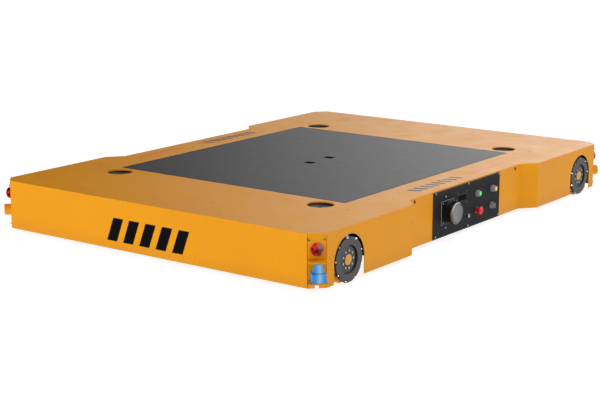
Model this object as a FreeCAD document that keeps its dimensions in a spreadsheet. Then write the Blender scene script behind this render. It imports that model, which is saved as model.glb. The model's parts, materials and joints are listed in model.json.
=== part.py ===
import FreeCAD, Part
import math
import os
import re

import Sketcher
from FreeCAD import Placement, Rotation, Vector

# Omnidirectional transport platform on four mecanum wheels.
# +X is the platform's right (the side with the control panel), +Y its rear, +Z up.
# The origin is on the floor under the middle of the deck. Millimetres.

DIMENSIONS = {
    # casing
    "body_length": 2500,
    "body_width": 1800,
    "deck_height": 242,
    "ground_gap": 20,
    "corner_cut": 54,
    "end_length": 681,
    "waist_depth": 62,
    "waist_run": 74,
    "skin": 3,
    "top_skin": 6,
    "seam": 2,
    "waist_hole_radius": 5.1,
    # deck
    "cover_half_width": 645,
    "cover_half_length": 710,
    "cover_gap": 3,
    "cover_seam": 1,
    "cover_thickness": 5.5,
    "finger_slot_width": 50,
    "finger_slot_depth": 41,
    "finger_slot_offset": 81,
    "seat_x": 584,
    "seat_y": 799,
    "seat_radius": 59.5,
    "seat_wall": 5,
    "seat_depth": 14,
    "seat_floor": 12,
    # wheels
    "wheel_y": 1038,
    "wheel_radius": 101.5,
    "wheel_centre_x": 854.5,
    "arch_radius": 107,
    "pin_circle": 82,
    "pin_radius": 5,
    "pin_setback": 1.5,
    "roller_length": 78,
    "roller_bore": 5.5,
    "plate_radius": 94.5,
    "plate_inner": 39.5,
    "plate_outer": 44,
    "plate_chamfer": 1,
    "dish_depth": 8,
    "dish_radius": 60,
    "dish_slope": 6,
    "notch_radius": 8.5,
    "notch_depth": 2.5,
    "bolt_circle": 36.4,
    "bolt_radius": 3,
    "bolt_head_radius": 4.8,
    "bolt_head_height": 4,
    "bolt_length": 30,
    "hub_radius": 54,
    "hub_cap_radius": 23,
    "hub_cap_height": 5,
    "hub_cap_chamfer": 1.5,
    "shaft_radius": 15,
    "shaft_reach": 112,
    # drive units, measured inwards from the wheel's middle plane
    "flange_face": 52,
    "flange_thickness": 10,
    "flange_side": 126,
    "hanger_thickness": 10,
    "gearbox_radius": 52,
    "gearbox_end": 142,
    "motor_radius": 45,
    "motor_end": 290,
    "brake_radius": 40,
    "brake_end": 330,
    "shaft_clearance": 0.5,
    "terminal_half": 35,
    "terminal_rise": 18,
    "terminal_sink": 8,
    "terminal_near": 30,
    "terminal_far": 110,
    # frame
    "beam_height": 60,
    "beam_wall": 5,
    "rail_inner": 700,
    "rail_outer": 760,
    "cross_end_inner": 1178,
    "cross_end_outer": 1238,
    "cross_deck_inner": 640,
    "cross_deck_outer": 722,
    "beam_half": 30,
    "hanger_half": 90,
    "hanger_clearance": 14,
    "outrigger_thickness": 8,
    "outrigger_half": 20,
    "pan_thickness": 4,
    "pan_floor": 22,
    "pan_half_width": 680,
    "pan_half_length": 1170,
    # corner units
    "corner_face_width": 74,
    "lamp_height": 178,
    "lamp_radius": 26.5,
    "lamp_reach": 21,
    "lamp_collar": 5,
    "lamp_gap": 0.2,
    "lamp_neck_radius": 13.5,
    "lamp_neck_length": 30,
    "lamp_hole_radius": 14,
    "bracket_width": 72,
    "visor_height": 135,
    "visor_thickness": 3,
    "visor_reach": 58,
    "shelf_height": 50,
    "shelf_thickness": 4,
    "shelf_reach": 62,
    "notch_width": 16,
    "notch_top": 36,
    "bumper_radius": 25.5,
    "bumper_height": 100,
    "bumper_reach": 32,
    "bumper_round": 6,
    "scanner_side": 58,
    "scanner_offset": 31,
    "scanner_base_height": 38.5,
    "scanner_base_radius": 25.5,
    "scanner_tip_radius": 15,
    "scanner_dome_height": 38,
    "scanner_gap": 0.3,
    "scanner_round": 6,
    # control panel on the right waist
    "panel_front": -303,
    "panel_rear": 296,
    "panel_thickness": 3,
    "panel_gap": 1,
    "panel_lip": 30,
    "panel_opening_low": 45,
    "panel_opening_high": 215,
    "glass_setback": 1,
    "glass_thickness": 1.5,
    "button_radius": 14,
    "bezel_radius": 15.5,
    "bezel_reach": 12,
    "lock_radius": 9,
    "lock_reach": 11,
    "socket_y": -182,
    "socket_height": 131,
    "socket_side": 106,
    "socket_flange": 5,
    "socket_radius": 46,
    "socket_reach": 44,
    "socket_wall": 6,
    "socket_well": 34,
    "contact_radius": 5,
    "contact_circle": 22,
    "contact_length": 24,
    "cap_radius": 49,
    "cap_thickness": 11,
    "cap_gap": 0.5,
    "cap_chamfer": 3,
    "hinge_pin": 2,
    "hinge_clearance": 0.4,
    "ear_inner": 11.8,
    "ear_outer": 16,
    "lug_half": 11,
    # power and control
    "battery_length": 560,
    "battery_width": 900,
    "battery_height": 150,
    "battery_middle": -310,
    "plug_reach": 30,
    "plug_half": 40,
    "plug_low": 60,
    "plug_high": 110,
    "cabinet_length": 520,
    "cabinet_width": 860,
    "cabinet_height": 140,
    "cabinet_middle": 320,
    "cabinet_lid": 4,
    # fasteners
    "screw_head": 6,
    "screw_head_height": 3,
    "screw_shank": 3,
    "screw_length": 20,
}

TOP_SCREWS_X = (-731, -365, 0, 365, 731)
TOP_SCREWS_SIDE_Y = (-810, -412, 412, 810)
TOP_SCREWS_END_Y = 1208
CORNER_SCREW_Y = 32
CORNER_SCREWS_Z = (42, 218)
PANEL_SCREWS_Y = (-286, 0, 283)
PANEL_SCREWS_Z = (32, 230)
PANEL_EXTRA_SCREWS = ((-200, 203), (-200, 61))
DISPLAY_Y = (-86, -17)
DISPLAY_Z = (159, 186)
DISPLAY_SCREWS_Y = (-91, -13)
DISPLAY_SCREWS_Z = (146, 198)
KEY_LOCK = (-4, 80)
FLANGE_SCREW = 45
CONTACTS = 5
OUTRIGGERS_X = 400
OUTRIGGERS_Y = (-400, -150, 150, 400)
WAIST_HOLES_Y = (-454, 454)
WAIST_HOLE_Z = 225
ROLLERS = 9
ROLLER_STEP = 360 / ROLLERS
FIRST_ROLLER = 30
X_AXIS, Y_AXIS, Z_AXIS = Vector(1, 0, 0), Vector(0, 1, 0), Vector(0, 0, 1)
UPRIGHT = Rotation()
ALONG_X = Rotation(Y_AXIS, 90)
ALONG_Y = Rotation(X_AXIS, -90)
SIDES = (-1, 1)
THROUGH = 40  # a cutter this long, centred on a sheet or plate, goes right through it

doc = FreeCAD.newDocument("MecanumPlatform")
sheet = doc.addObject("Spreadsheet::Sheet", "Sizes")
for row, (alias, size) in enumerate(DIMENSIONS.items(), start=1):
    sheet.set(f"A{row}", alias)
    sheet.set(f"B{row}", str(size))
    sheet.setAlias(f"B{row}", alias)
doc.recompute()

ALIAS = re.compile(r"\b(" + "|".join(sorted(DIMENSIONS, key=len, reverse=True)) + r")\b")
nodes = {}


def formula(text):
    """An expression on the sheet's cells, from plain aliases and numbers."""
    return ALIAS.sub(r"Sizes.\1", str(text))


def number(text):
    """The value of such an expression."""
    return float(sheet.evalExpression(formula(text)))


def bind(thing, **sizes):
    for name, text in sizes.items():
        thing.setExpression(name, formula(text))
    return thing


def place(thing, corner, rotation=UPRIGHT):
    thing.Placement = Placement(Vector(), rotation)
    for axis, text in zip("xyz", corner):
        thing.setExpression(f"Placement.Base.{axis}", formula(text))
    return thing


def box(length, width, height, corner, rotation=UPRIGHT):
    """A block from its lowest corner."""
    block = bind(doc.addObject("Part::Box", "Block"), Length=length, Width=width, Height=height)
    return place(block, corner, rotation)


def slab(x_low, x_high, y_low, y_high, z_low, z_high):
    """A block between two planes on each axis."""
    size = (f"({b}) - ({a})" for a, b in ((x_low, x_high), (y_low, y_high), (z_low, z_high)))
    return box(*size, (x_low, y_low, z_low))


def tube(x_low, x_high, y_low, y_high, z_low, z_high, along):
    """A square tube between the same planes, open at both ends of its length."""
    edges = []
    for axis, low, high in zip("xyz", (x_low, y_low, z_low), (x_high, y_high, z_high)):
        inset = f"-{THROUGH / 2}" if axis == along else "beam_wall"
        edges += [f"({low}) + ({inset})", f"({high}) - ({inset})"]
    return cut(slab(x_low, x_high, y_low, y_high, z_low, z_high), slab(*edges))


def rod(radius, height, base, rotation=UPRIGHT):
    cylinder = bind(doc.addObject("Part::Cylinder", "Rod"), Radius=radius, Height=height)
    return place(cylinder, base, rotation)


def frustum(low_radius, high_radius, height, base, rotation=UPRIGHT):
    cone = doc.addObject("Part::Cone", "Frustum")
    bind(cone, Radius1=low_radius, Radius2=high_radius, Height=height)
    return place(cone, base, rotation)


def group(*members):
    compound = doc.addObject("Part::Compound", "Group")
    compound.Links = list(members)
    return compound


def cut(base, *tools):
    result = doc.addObject("Part::Cut", "Cut")
    result.Base = base
    result.Tool = tools[0] if len(tools) == 1 else group(*tools)
    return result


def fuse(*members):
    union = doc.addObject("Part::MultiFuse", "Union")
    union.Shapes = list(members)
    union.Refine = True
    return union


def turned(members, centre, rotation):
    """The members as one group, set down at a place."""
    return place(group(*members), centre, rotation)


def node(label, *members):
    """Names a sub-part. Several members stay separate solids of the one sub-part."""
    part = members[0] if len(members) == 1 else group(*members)
    part.Label = label
    nodes[label] = part
    return part


def origin_plane(body, role):
    return next(f for f in body.Origin.OriginFeatures if f.Role == role)


def arc_between(start, end, radius):
    """The shorter arc that bulges to the right of the way from start to end."""
    middle = (start + end) * 0.5
    along = end - start
    right = Vector(along.y, -along.x, 0).normalize()
    reach = along.Length / 2
    rise = radius - math.sqrt(max(radius**2 - reach**2, 0))
    return Part.Arc(start, middle + right * rise, end)


def draw_outline(sketch, points):
    """A closed outline. A point is (x, y), or (x, y, radius) where an arc leads to it."""
    spots = [Vector(number(p[0]), number(p[1]), 0) for p in points]
    first = sketch.GeometryCount
    count = len(points)
    for i, point in enumerate(points):
        start = spots[i - 1]
        if len(point) > 2:
            sketch.addGeometry(arc_between(start, spots[i], number(point[2])), False)
        else:
            sketch.addGeometry(Part.LineSegment(start, spots[i]), False)
    ends = []
    for i, point in enumerate(points):
        forward = len(point) == 2 or ends_at(sketch, first + i, spots[i])
        ends.append(2 if forward else 1)
    for i, point in enumerate(points):
        following = (i + 1) % count
        join = (first + i, ends[i], first + following, 3 - ends[following])
        sketch.addConstraint(Sketcher.Constraint("Coincident", *join))
        for kind, text, value in zip(("DistanceX", "DistanceY"), point, spots[i]):
            fix = Sketcher.Constraint(kind, -1, 1, first + i, ends[i], value)
            index = sketch.addConstraint(fix)
            sketch.setExpression(f"Constraints[{index}]", formula(text))
        if len(point) > 2:
            index = sketch.addConstraint(Sketcher.Constraint("Radius", first + i, number(point[2])))
            sketch.setExpression(f"Constraints[{index}]", formula(point[2]))


def ends_at(sketch, index, spot):
    """Whether a curve's second point is this spot."""
    return sketch.getPoint(index, 2).distanceToPoint(spot) < 1e-6


def draw_circle(sketch, x, y, radius):
    middle = Vector(number(x), number(y), 0)
    index = sketch.addGeometry(Part.Circle(middle, Z_AXIS, number(radius)), False)
    for kind, text, value in (("DistanceX", x, middle.x), ("DistanceY", y, middle.y)):
        fixed = sketch.addConstraint(Sketcher.Constraint(kind, -1, 1, index, 3, value))
        sketch.setExpression(f"Constraints[{fixed}]", formula(text))
    fixed = sketch.addConstraint(Sketcher.Constraint("Radius", index, number(radius)))
    sketch.setExpression(f"Constraints[{fixed}]", formula(radius))


def sketch_on(body, role):
    sketch = body.newObject("Sketcher::SketchObject", "Outline")
    sketch.AttachmentSupport = (origin_plane(body, role), [""])
    sketch.MapMode = "FlatFace"
    return sketch


def plate(height, *outlines, holes=()):
    """A flat piece on the XY plane: its outlines, with round holes (x, y, radius)."""
    body = doc.addObject("PartDesign::Body", "Plate")
    sketch = sketch_on(body, "XY_Plane")
    for outline in outlines:
        draw_outline(sketch, outline)
    for hole in holes:
        draw_circle(sketch, *hole)
    pad = body.newObject("PartDesign::Pad", "Pad")
    pad.Profile = sketch
    bind(pad, Length=height)
    return body


def turning(outline):
    """A turned piece about Z, from half of its section as (radius, height) points."""
    body = doc.addObject("PartDesign::Body", "Turning")
    sketch = sketch_on(body, "XZ_Plane")
    draw_outline(sketch, outline)
    turn = body.newObject("PartDesign::Revolution", "Revolution")
    turn.Profile = sketch
    turn.ReferenceAxis = (sketch, ["V_Axis"])
    turn.Angle = 360
    return body


def rectangle(half_x, half_y):
    corners = ((-1, -1), (1, -1), (1, 1), (-1, 1))
    return [(f"{sx} * ({half_x})", f"{sy} * ({half_y})") for sx, sy in corners]


# ---------------------------------------------------------------- casing

WAIST_X = "body_width / 2 - waist_depth"
SHOULDER_Y = "body_length / 2 - end_length"
WAIST_Y = "body_length / 2 - end_length - waist_run"
CORNER_X = "body_width / 2 - corner_cut"
CORNER_Y = "body_length / 2 - corner_cut"
PANEL_X = f"{WAIST_X} + panel_thickness"
SKIRT_TOP = "deck_height - top_skin"


def plan_outline():
    """The casing seen from above: cut corners and a waist on both long sides."""
    quarter = [
        (CORNER_X, "body_length / 2"),
        ("body_width / 2", CORNER_Y),
        ("body_width / 2", SHOULDER_Y),
        (WAIST_X, WAIST_Y),
    ]
    right_front = [(x, f"-({y})") for x, y in reversed(quarter)]
    left_front = [(f"-({x})", f"-({y})") for x, y in quarter]
    left_rear = [(f"-({x})", y) for x, y in reversed(quarter)]
    return quarter + right_front + left_front + left_rear


def top_screw_places():
    ends = [(x, sy * TOP_SCREWS_END_Y) for x in TOP_SCREWS_X for sy in SIDES]
    sides = [(sx * TOP_SCREWS_X[-1], y) for sx in SIDES for y in TOP_SCREWS_SIDE_Y]
    return ends + sides


def screw(base, rotation=UPRIGHT):
    """A pan-head screw. Its shank starts at the base and its head ends the other way."""
    shank = rod("screw_shank", "screw_length", (0, 0, 0))
    head = rod("screw_head", "screw_head_height", (0, 0, "screw_length"))
    return place(fuse(shank, head), base, rotation)


def top_screws():
    low = "deck_height - screw_head_height - screw_length"
    return [screw((x, y, low)) for x, y in top_screw_places()]


def top_plate(screws):
    opening = rectangle("cover_half_width + cover_gap", "cover_half_length + cover_gap")
    seats = [(f"{sx} * seat_x", f"{sy} * seat_y", "seat_radius") for sx in SIDES for sy in SIDES]
    skin = plate("top_skin", plan_outline(), opening, holes=seats)
    place(skin, (0, 0, SKIRT_TOP))
    return node("top_plate", cut(skin, *screws))


def end_skirt(side):
    low, high = sorted((f"{side} * body_length / 2", f"{side} * (body_length / 2 - skin)"), key=number)
    half = f"{CORNER_X} - seam"
    return slab(f"-({half})", half, low, high, "ground_gap", SKIRT_TOP)


def side_skirt(side, screws):
    """A folded side panel with the waist and two wheel arches open at the bottom."""
    outer = [
        ("body_width / 2", f"-({CORNER_Y} - seam)"),
        ("body_width / 2", f"-({SHOULDER_Y})"),
        (WAIST_X, f"-({WAIST_Y})"),
        (WAIST_X, WAIST_Y),
        ("body_width / 2", SHOULDER_Y),
        ("body_width / 2", f"{CORNER_Y} - seam"),
    ]
    inner = [(f"{x} - skin", y) for x, y in reversed(outer)]
    outline = [(f"{side} * ({x})", y) for x, y in outer + inner]
    sheet_metal = place(plate(f"{SKIRT_TOP} - ground_gap", outline), (0, 0, "ground_gap"))
    openings = []
    for end in SIDES:
        start = f"{side} * body_width / 2 - {THROUGH / 2}"
        middle = f"{end} * wheel_y"
        openings.append(rod("arch_radius", THROUGH, (start, middle, "wheel_radius"), ALONG_X))
        foot = (start, f"{middle} - arch_radius", 0)
        openings.append(box(THROUGH, "2 * arch_radius", "wheel_radius", foot))
    for y in WAIST_HOLES_Y:
        start = f"{side} * ({WAIST_X}) - {THROUGH / 2}"
        openings.append(rod("waist_hole_radius", THROUGH, (start, y, WAIST_HOLE_Z), ALONG_X))
    if side > 0:
        across = (f"{WAIST_X} - {THROUGH / 2}", f"{WAIST_X} + {THROUGH / 2}")
        along = ("panel_front + panel_lip", "panel_rear - panel_lip")
        openings.append(slab(*across, *along, "panel_opening_low", "panel_opening_high"))
        openings.extend(screws)
    return cut(sheet_metal, *openings)


# ---------------------------------------------------------------- deck

def deck_cover(label, end):
    """Half of the lift-off deck, with a finger slot near the seam."""
    near, far = "cover_seam / 2", "cover_half_length"
    low, high = (near, far) if end > 0 else (f"-({far})", f"-({near})")
    half = "cover_half_width"
    sheet_metal = slab(f"-{half}", half, low, high, "deck_height - cover_thickness", "deck_height")
    slot_low = f"{end} * finger_slot_offset - finger_slot_depth / 2"
    slot_high = f"{end} * finger_slot_offset + finger_slot_depth / 2"
    reach = ("-finger_slot_width / 2", "finger_slot_width / 2")
    heights = (f"deck_height - {THROUGH / 2}", f"deck_height + {THROUGH / 2}")
    slot = slab(*reach, slot_low, slot_high, *heights)
    return node(label, cut(sheet_metal, slot))


def load_seat(side, end):
    """A round post under the top plate with a shallow seat for a load foot."""
    middle = (f"{side} * seat_x", f"{end} * seat_y")
    foot = "pan_floor + pan_thickness"
    post = rod("seat_radius", f"{SKIRT_TOP} - ({foot})", (*middle, foot))
    bore = "seat_radius - seat_wall"
    seat = rod(bore, "seat_depth", (*middle, "deck_height - seat_depth"))
    hollow = rod(bore, f"deck_height - seat_depth - seat_floor - ({foot})", (*middle, foot))
    return cut(post, seat, hollow)


# ---------------------------------------------------------------- frame

def base_frame(screws):
    """The welded frame: rails, cross beams, drive hangers, outriggers, floor pan, load posts."""
    low, high = f"{SKIRT_TOP} - beam_height", SKIRT_TOP
    pieces = []
    for side in SIDES:
        edges = sorted((f"{side} * rail_inner", f"{side} * rail_outer"), key=number)
        rail = tube(*edges, "-cross_end_inner", "cross_end_inner", low, high, "y")
        pieces.append(cut(rail, *screws))
    for end in SIDES:
        edges = sorted((f"{end} * cross_end_inner", f"{end} * cross_end_outer"), key=number)
        beam = tube("-rail_outer", "rail_outer", *edges, low, high, "x")
        pieces.append(cut(beam, *screws))
        edges = sorted((f"{end} * cross_deck_inner", f"{end} * cross_deck_outer"), key=number)
        pieces.append(tube("-rail_inner", "rail_inner", *edges, low, high, "x"))
        edges = sorted((f"{end} * cross_end_outer", f"{end} * (body_length / 2 - skin)"), key=number)
        for side in SIDES:
            x = side * OUTRIGGERS_X
            across = (f"{x} - beam_half", f"{x} + beam_half")
            pieces.append(slab(*across, *edges, f"{high} - outrigger_thickness", high))
    pieces.append(tube("-rail_inner", "rail_inner", "-beam_half", "beam_half", low, high, "x"))
    for side in SIDES:
        edges = sorted((f"{side} * rail_outer", f"{side} * ({WAIST_X} - skin)"), key=number)
        for y in OUTRIGGERS_Y:
            along = (f"{y} - outrigger_half", f"{y} + outrigger_half")
            pieces.append(slab(*edges, *along, f"{high} - outrigger_thickness", high))
        for end in SIDES:
            pieces.extend(drive_hanger(side, end))
            pieces.append(load_seat(side, end))
    pan = plate("pan_thickness", rectangle("pan_half_width", "pan_half_length"))
    pieces.append(place(pan, (0, 0, "pan_floor")))
    return node("base_frame", *pieces)


def drive_hanger(side, end):
    """An upright plate that carries one gearmotor, and the block that ties it to its rail."""
    face = "wheel_centre_x - flange_face - flange_thickness"
    edges = sorted((f"{side} * ({face})", f"{side} * ({face} - hanger_thickness)"), key=number)
    y_low, y_high = f"{end} * wheel_y - hanger_half", f"{end} * wheel_y + hanger_half"
    upright = slab(*edges, y_low, y_high, "ground_gap + hanger_clearance", SKIRT_TOP)
    start = (f"{side} * ({face}) - {THROUGH / 2}", f"{end} * wheel_y", "wheel_radius")
    hole = rod("gearbox_radius + shaft_clearance", THROUGH, start, ALONG_X)
    edges = sorted((f"{side} * rail_outer", f"{side} * ({face} - hanger_thickness)"), key=number)
    block = slab(*edges, y_low, y_high, f"{SKIRT_TOP} - beam_height", SKIRT_TOP)
    return cut(upright, hole), block


# ---------------------------------------------------------------- wheels

HALF_ROLLER = "roller_length / 2"
ROLLER_END = f"sqrt(wheel_radius ^ 2 - ({HALF_ROLLER}) ^ 2 / 2) - pin_circle"
ROLLER_SAG = f"(wheel_radius - pin_circle - ({ROLLER_END}))"
ROLLER_CROWN = f"((({HALF_ROLLER}) ^ 2 + {ROLLER_SAG} ^ 2) / (2 * {ROLLER_SAG}))"


def wheel_turn(side):
    """Turns a wheel built about +Z, outer face up, so that its outer face looks sideways."""
    outward_x = Rotation(Y_AXIS, Z_AXIS, X_AXIS, "ZXY")
    return outward_x if side > 0 else Rotation(Z_AXIS, 180) * outward_x


def wheel_centre(side, end):
    return (f"{side} * wheel_centre_x", f"{end} * wheel_y", "wheel_radius")


def roller_seat(index, slant):
    """The middle and the 45 degree lean of one roller's pin, in its wheel's own frame."""
    angle = math.radians(FIRST_ROLLER + index * ROLLER_STEP)
    outward = Vector(math.cos(angle), math.sin(angle), 0)
    tangent = Vector(-math.sin(angle), math.cos(angle), 0)
    lean = (Z_AXIS + tangent * slant).normalize()
    return outward * number("pin_circle"), Rotation(Z_AXIS, lean)


def barrel():
    """The crowned polyurethane roller: its outline keeps the wheel round at 45 degrees."""
    return turning([
        ("roller_bore", f"-({HALF_ROLLER})"),
        (ROLLER_END, f"-({HALF_ROLLER})"),
        (ROLLER_END, HALF_ROLLER, ROLLER_CROWN),
        ("roller_bore", HALF_ROLLER),
    ])


def pin(index, slant):
    """A roller's 45 degree pin, held by the outer and the inner plate."""
    middle, lean = roller_seat(index, slant)
    reach = "(plate_outer - pin_setback) * sqrt(2)"
    leaning = group(rod("pin_radius", f"2 * {reach}", (0, 0, 0)))
    leaning.Placement = Placement(middle - lean.multVec(Z_AXIS) * number(reach), lean)
    return leaning


def notch(index, slant, face):
    """The round pocket in a plate's outer side where a pin ends."""
    middle, lean = roller_seat(index, slant)
    direction = lean.multVec(Z_AXIS)
    spot = middle + direction * (face * number("plate_outer - pin_setback") / direction.z)
    low = number("plate_outer - notch_depth") if face > 0 else -number("plate_outer")
    pocket = group(rod("notch_radius", "notch_depth", (0, 0, 0)))
    pocket.Placement = Placement(Vector(spot.x, spot.y, low), UPRIGHT)
    return pocket


def wheel_bolt(index):
    """A hub bolt with its head in the dish of the outer plate."""
    face = "plate_outer - dish_depth"
    shank = rod("bolt_radius", "bolt_length", (0, 0, f"{face} - bolt_length"))
    head = rod("bolt_head_radius", "bolt_head_height", (0, 0, face))
    bolt = fuse(shank, head)
    angle = math.radians(index * ROLLER_STEP)
    radius = number("bolt_circle")
    bolt.Placement = Placement(Vector(radius * math.cos(angle), radius * math.sin(angle), 0), UPRIGHT)
    return bolt


def outer_plate():
    """The dished outer plate of a wheel."""
    floor_in, floor_out = "plate_inner - dish_depth", "plate_outer - dish_depth"
    return turning([
        ("hub_cap_radius", floor_in),
        ("dish_radius - dish_slope + 1", floor_in),
        ("dish_radius + 1", "plate_inner"),
        ("plate_radius", "plate_inner"),
        ("plate_radius", "plate_outer - plate_chamfer"),
        ("plate_radius - plate_chamfer", "plate_outer"),
        ("dish_radius", "plate_outer"),
        ("dish_radius - dish_slope", floor_out),
        ("hub_cap_radius", floor_out),
    ])


def wheel_members(slant):
    """The solids of a wheel's carrier for one hand of mecanum wheel."""
    pins = [pin(i, slant) for i in range(ROLLERS)]
    bolts = [wheel_bolt(i) for i in range(ROLLERS)]
    notches = [notch(i, slant, face) for i in range(ROLLERS) for face in SIDES]
    front = cut(outer_plate(), *pins, *bolts, *notches)
    back = rod("plate_radius", "plate_outer - plate_inner", (0, 0, "-plate_outer"))
    shaft_hole = rod("shaft_radius", "2 * shaft_reach", (0, 0, "-shaft_reach"))
    back = cut(back, shaft_hole, *pins, *notches)
    drum = rod("hub_radius", "2 * plate_inner - dish_depth", (0, 0, "-plate_inner"))
    drum = cut(drum, shaft_hole, *bolts)
    shaft = rod("shaft_radius", "shaft_reach + plate_outer - dish_depth", (0, 0, "-shaft_reach"))
    cap_low = "plate_outer - dish_depth"
    cap = turning([
        (0, cap_low),
        ("hub_cap_radius", cap_low),
        ("hub_cap_radius", f"{cap_low} + hub_cap_height - hub_cap_chamfer"),
        ("hub_cap_radius - hub_cap_chamfer", f"{cap_low} + hub_cap_height"),
        (0, f"{cap_low} + hub_cap_height"),
    ])
    return [front, back, drum, shaft, cap, *pins, *bolts]


def wheels():
    """Four wheels. Diagonal pairs share a hand, so their top rollers lean to the centre."""
    roller = barrel()
    members = {slant: wheel_members(slant) for slant in SIDES}
    for end, end_name in ((-1, "front"), (1, "rear")):
        for side, side_name in ((-1, "left"), (1, "right")):
            slant = -side * end
            name = f"{end_name}_{side_name}"
            centre = wheel_centre(side, end)
            wheel = turned(members[slant], centre, wheel_turn(side))
            node(f"wheel_{name}", wheel)
            for index in range(ROLLERS):
                middle, lean = roller_seat(index, slant)
                rolling = group(roller)
                hub = Placement(Vector(*(number(c) for c in centre)), wheel_turn(side))
                rolling.Placement = hub * Placement(middle, lean)
                node(f"roller_{name}_{index + 1}", rolling)


def drive_unit(side, end):
    """A gearmotor: flange, gearbox with the shaft's bore, motor, terminal box and brake."""
    flange_low = "-(flange_face + flange_thickness)"
    half = "flange_side / 2"
    flange = slab(f"-({half})", half, f"-({half})", half, flange_low, "-flange_face")
    casing = rod("gearbox_radius", "gearbox_end - flange_face", (0, 0, "-gearbox_end"))
    bore_depth = "shaft_reach + 10 * shaft_clearance"
    bore = rod("shaft_radius + shaft_clearance", bore_depth, (0, 0, f"-({bore_depth})"))
    gearbox = cut(fuse(flange, casing), bore)
    motor = rod("motor_radius", "motor_end - gearbox_end", (0, 0, "-motor_end"))
    brake = rod("brake_radius", "brake_end - motor_end", (0, 0, "-brake_end"))
    across = ("-terminal_half", "terminal_half")
    rise = ("motor_radius - terminal_sink", "motor_radius + terminal_rise")
    ends = ("-(gearbox_end + terminal_far)", "-(gearbox_end + terminal_near)")
    terminals = slab(*across, *rise, *ends)
    members = (gearbox, cut(motor, terminals), terminals, brake)
    return turned(members, wheel_centre(side, end), wheel_turn(side))


# ---------------------------------------------------------------- corners

def corner_turn(side, end):
    """Local +X looks out through the cut corner, +Y runs along it."""
    angle = math.degrees(math.atan2(end, side))
    return Rotation(Z_AXIS, angle)


def corner_centre(side, end):
    return (f"{side} * (body_width - corner_cut) / 2", f"{end} * (body_length - corner_cut) / 2", 0)


def corner_face():
    half = "corner_face_width / 2"
    face = slab("-skin", 0, f"-({half})", half, "ground_gap", SKIRT_TOP)
    start = -THROUGH / 2
    lamp_hole = rod("lamp_hole_radius", THROUGH, (start, 0, "lamp_height"), ALONG_X)
    slot = slab(start, -start, "-notch_width / 2", "notch_width / 2", 0, "notch_top")
    return cut(face, lamp_hole, slot)


def corner_screws():
    """Screws through the four corners of the face, heads outside."""
    return [screw(("screw_head_height / 2 - screw_length", side * CORNER_SCREW_Y, z), ALONG_X)
            for side in SIDES for z in CORNER_SCREWS_Z]


def scanner_corner(screws):
    """A corner face with a visor and a shelf standing out of it, the scanner's bracket."""
    across = ("-bracket_width / 2", "bracket_width / 2")
    root = "-skin / 3"
    visor = slab(root, "visor_reach", *across, "visor_height", "visor_height + visor_thickness")
    shelf = slab(root, "shelf_reach", *across, "shelf_height", "shelf_height + shelf_thickness")
    return cut(fuse(corner_face(), visor, shelf), *screws)


def bumper_corner(screws):
    """A corner face with the round bumper stub in place of the scanner."""
    stub = turning([
        (0, "-skin"),
        ("bumper_radius", "-skin"),
        ("bumper_radius", "bumper_reach - bumper_round"),
        ("bumper_radius - bumper_round", "bumper_reach", "bumper_round"),
        (0, "bumper_reach"),
    ])
    place(stub, (0, 0, "bumper_height"), ALONG_X)
    return cut(fuse(corner_face(), stub), *screws)


def lamp():
    """A dome lens on a threaded neck through the face."""
    rise = "(lamp_reach - lamp_collar)"
    lens = turning([
        (0, "lamp_gap"),
        ("lamp_radius", "lamp_gap"),
        ("lamp_radius", "lamp_collar"),
        (0, "lamp_reach", f"((lamp_radius ^ 2 + {rise} ^ 2) / (2 * {rise}))"),
    ])
    place(lens, (0, 0, "lamp_height"), ALONG_X)
    neck_start = ("-lamp_neck_length", 0, "lamp_height")
    neck = rod("lamp_neck_radius", "lamp_neck_length + lamp_gap", neck_start, ALONG_X)
    return fuse(lens, neck)


def scanner():
    """A compact laser scanner on the shelf: rounded square base and waisted head."""
    low = "shelf_height + shelf_thickness + scanner_gap"
    half = "scanner_side / 2"
    edges = (f"scanner_offset - {half}", f"scanner_offset + {half}", f"-({half})", half)
    base = slab(*edges, low, f"{low} + scanner_base_height")
    rounded = doc.addObject("Part::Fillet", "Rounded")
    rounded.Base = base
    doc.recompute()
    upright = [i for i, e in enumerate(base.Shape.Edges, start=1)
               if abs(e.Vertexes[0].Point.z - e.Vertexes[1].Point.z) > 1]
    radius = number("scanner_round")
    rounded.Edges = [(i, radius, radius) for i in upright]
    head = frustum("scanner_base_radius", "scanner_tip_radius", "scanner_dome_height",
                   ("scanner_offset", 0, f"{low} + scanner_base_height"))
    return fuse(rounded, head)


def corners():
    faces, lamps, scanners, screws = [], [], [], []
    shared = corner_screws()
    kinds = {1: (scanner_corner(shared), True), -1: (bumper_corner(shared), False)}
    one_lamp, one_scanner = lamp(), scanner()
    for side in SIDES:
        for end in SIDES:
            face, scans = kinds[-side * end]
            spot = (corner_centre(side, end), corner_turn(side, end))
            faces.append(turned([face], *spot))
            lamps.append(turned([one_lamp], *spot))
            screws.append(turned(shared, *spot))
            if scans:
                scanners.append(turned([one_scanner], *spot))
    node("corner_panels", *faces)
    node("signal_lamps", *lamps)
    node("laser_scanners", *scanners)
    return screws


# ---------------------------------------------------------------- control panel

BUTTONS = {
    # name: (y, z, head radius, how far it stands out, neck radius)
    "start_button": (82, 171, 12, 20, 10),
    "reset_button": (223, 170, 12, 24, 10),
    "estop_button": (80, 91, 19, 30, 13),
    "mode_selector": (218, 90, 12, 18, 10),
}


def panel_hole(y, z, radius):
    return rod(radius, THROUGH, (f"{PANEL_X} - {THROUGH / 2}", y, z), ALONG_X)


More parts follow.
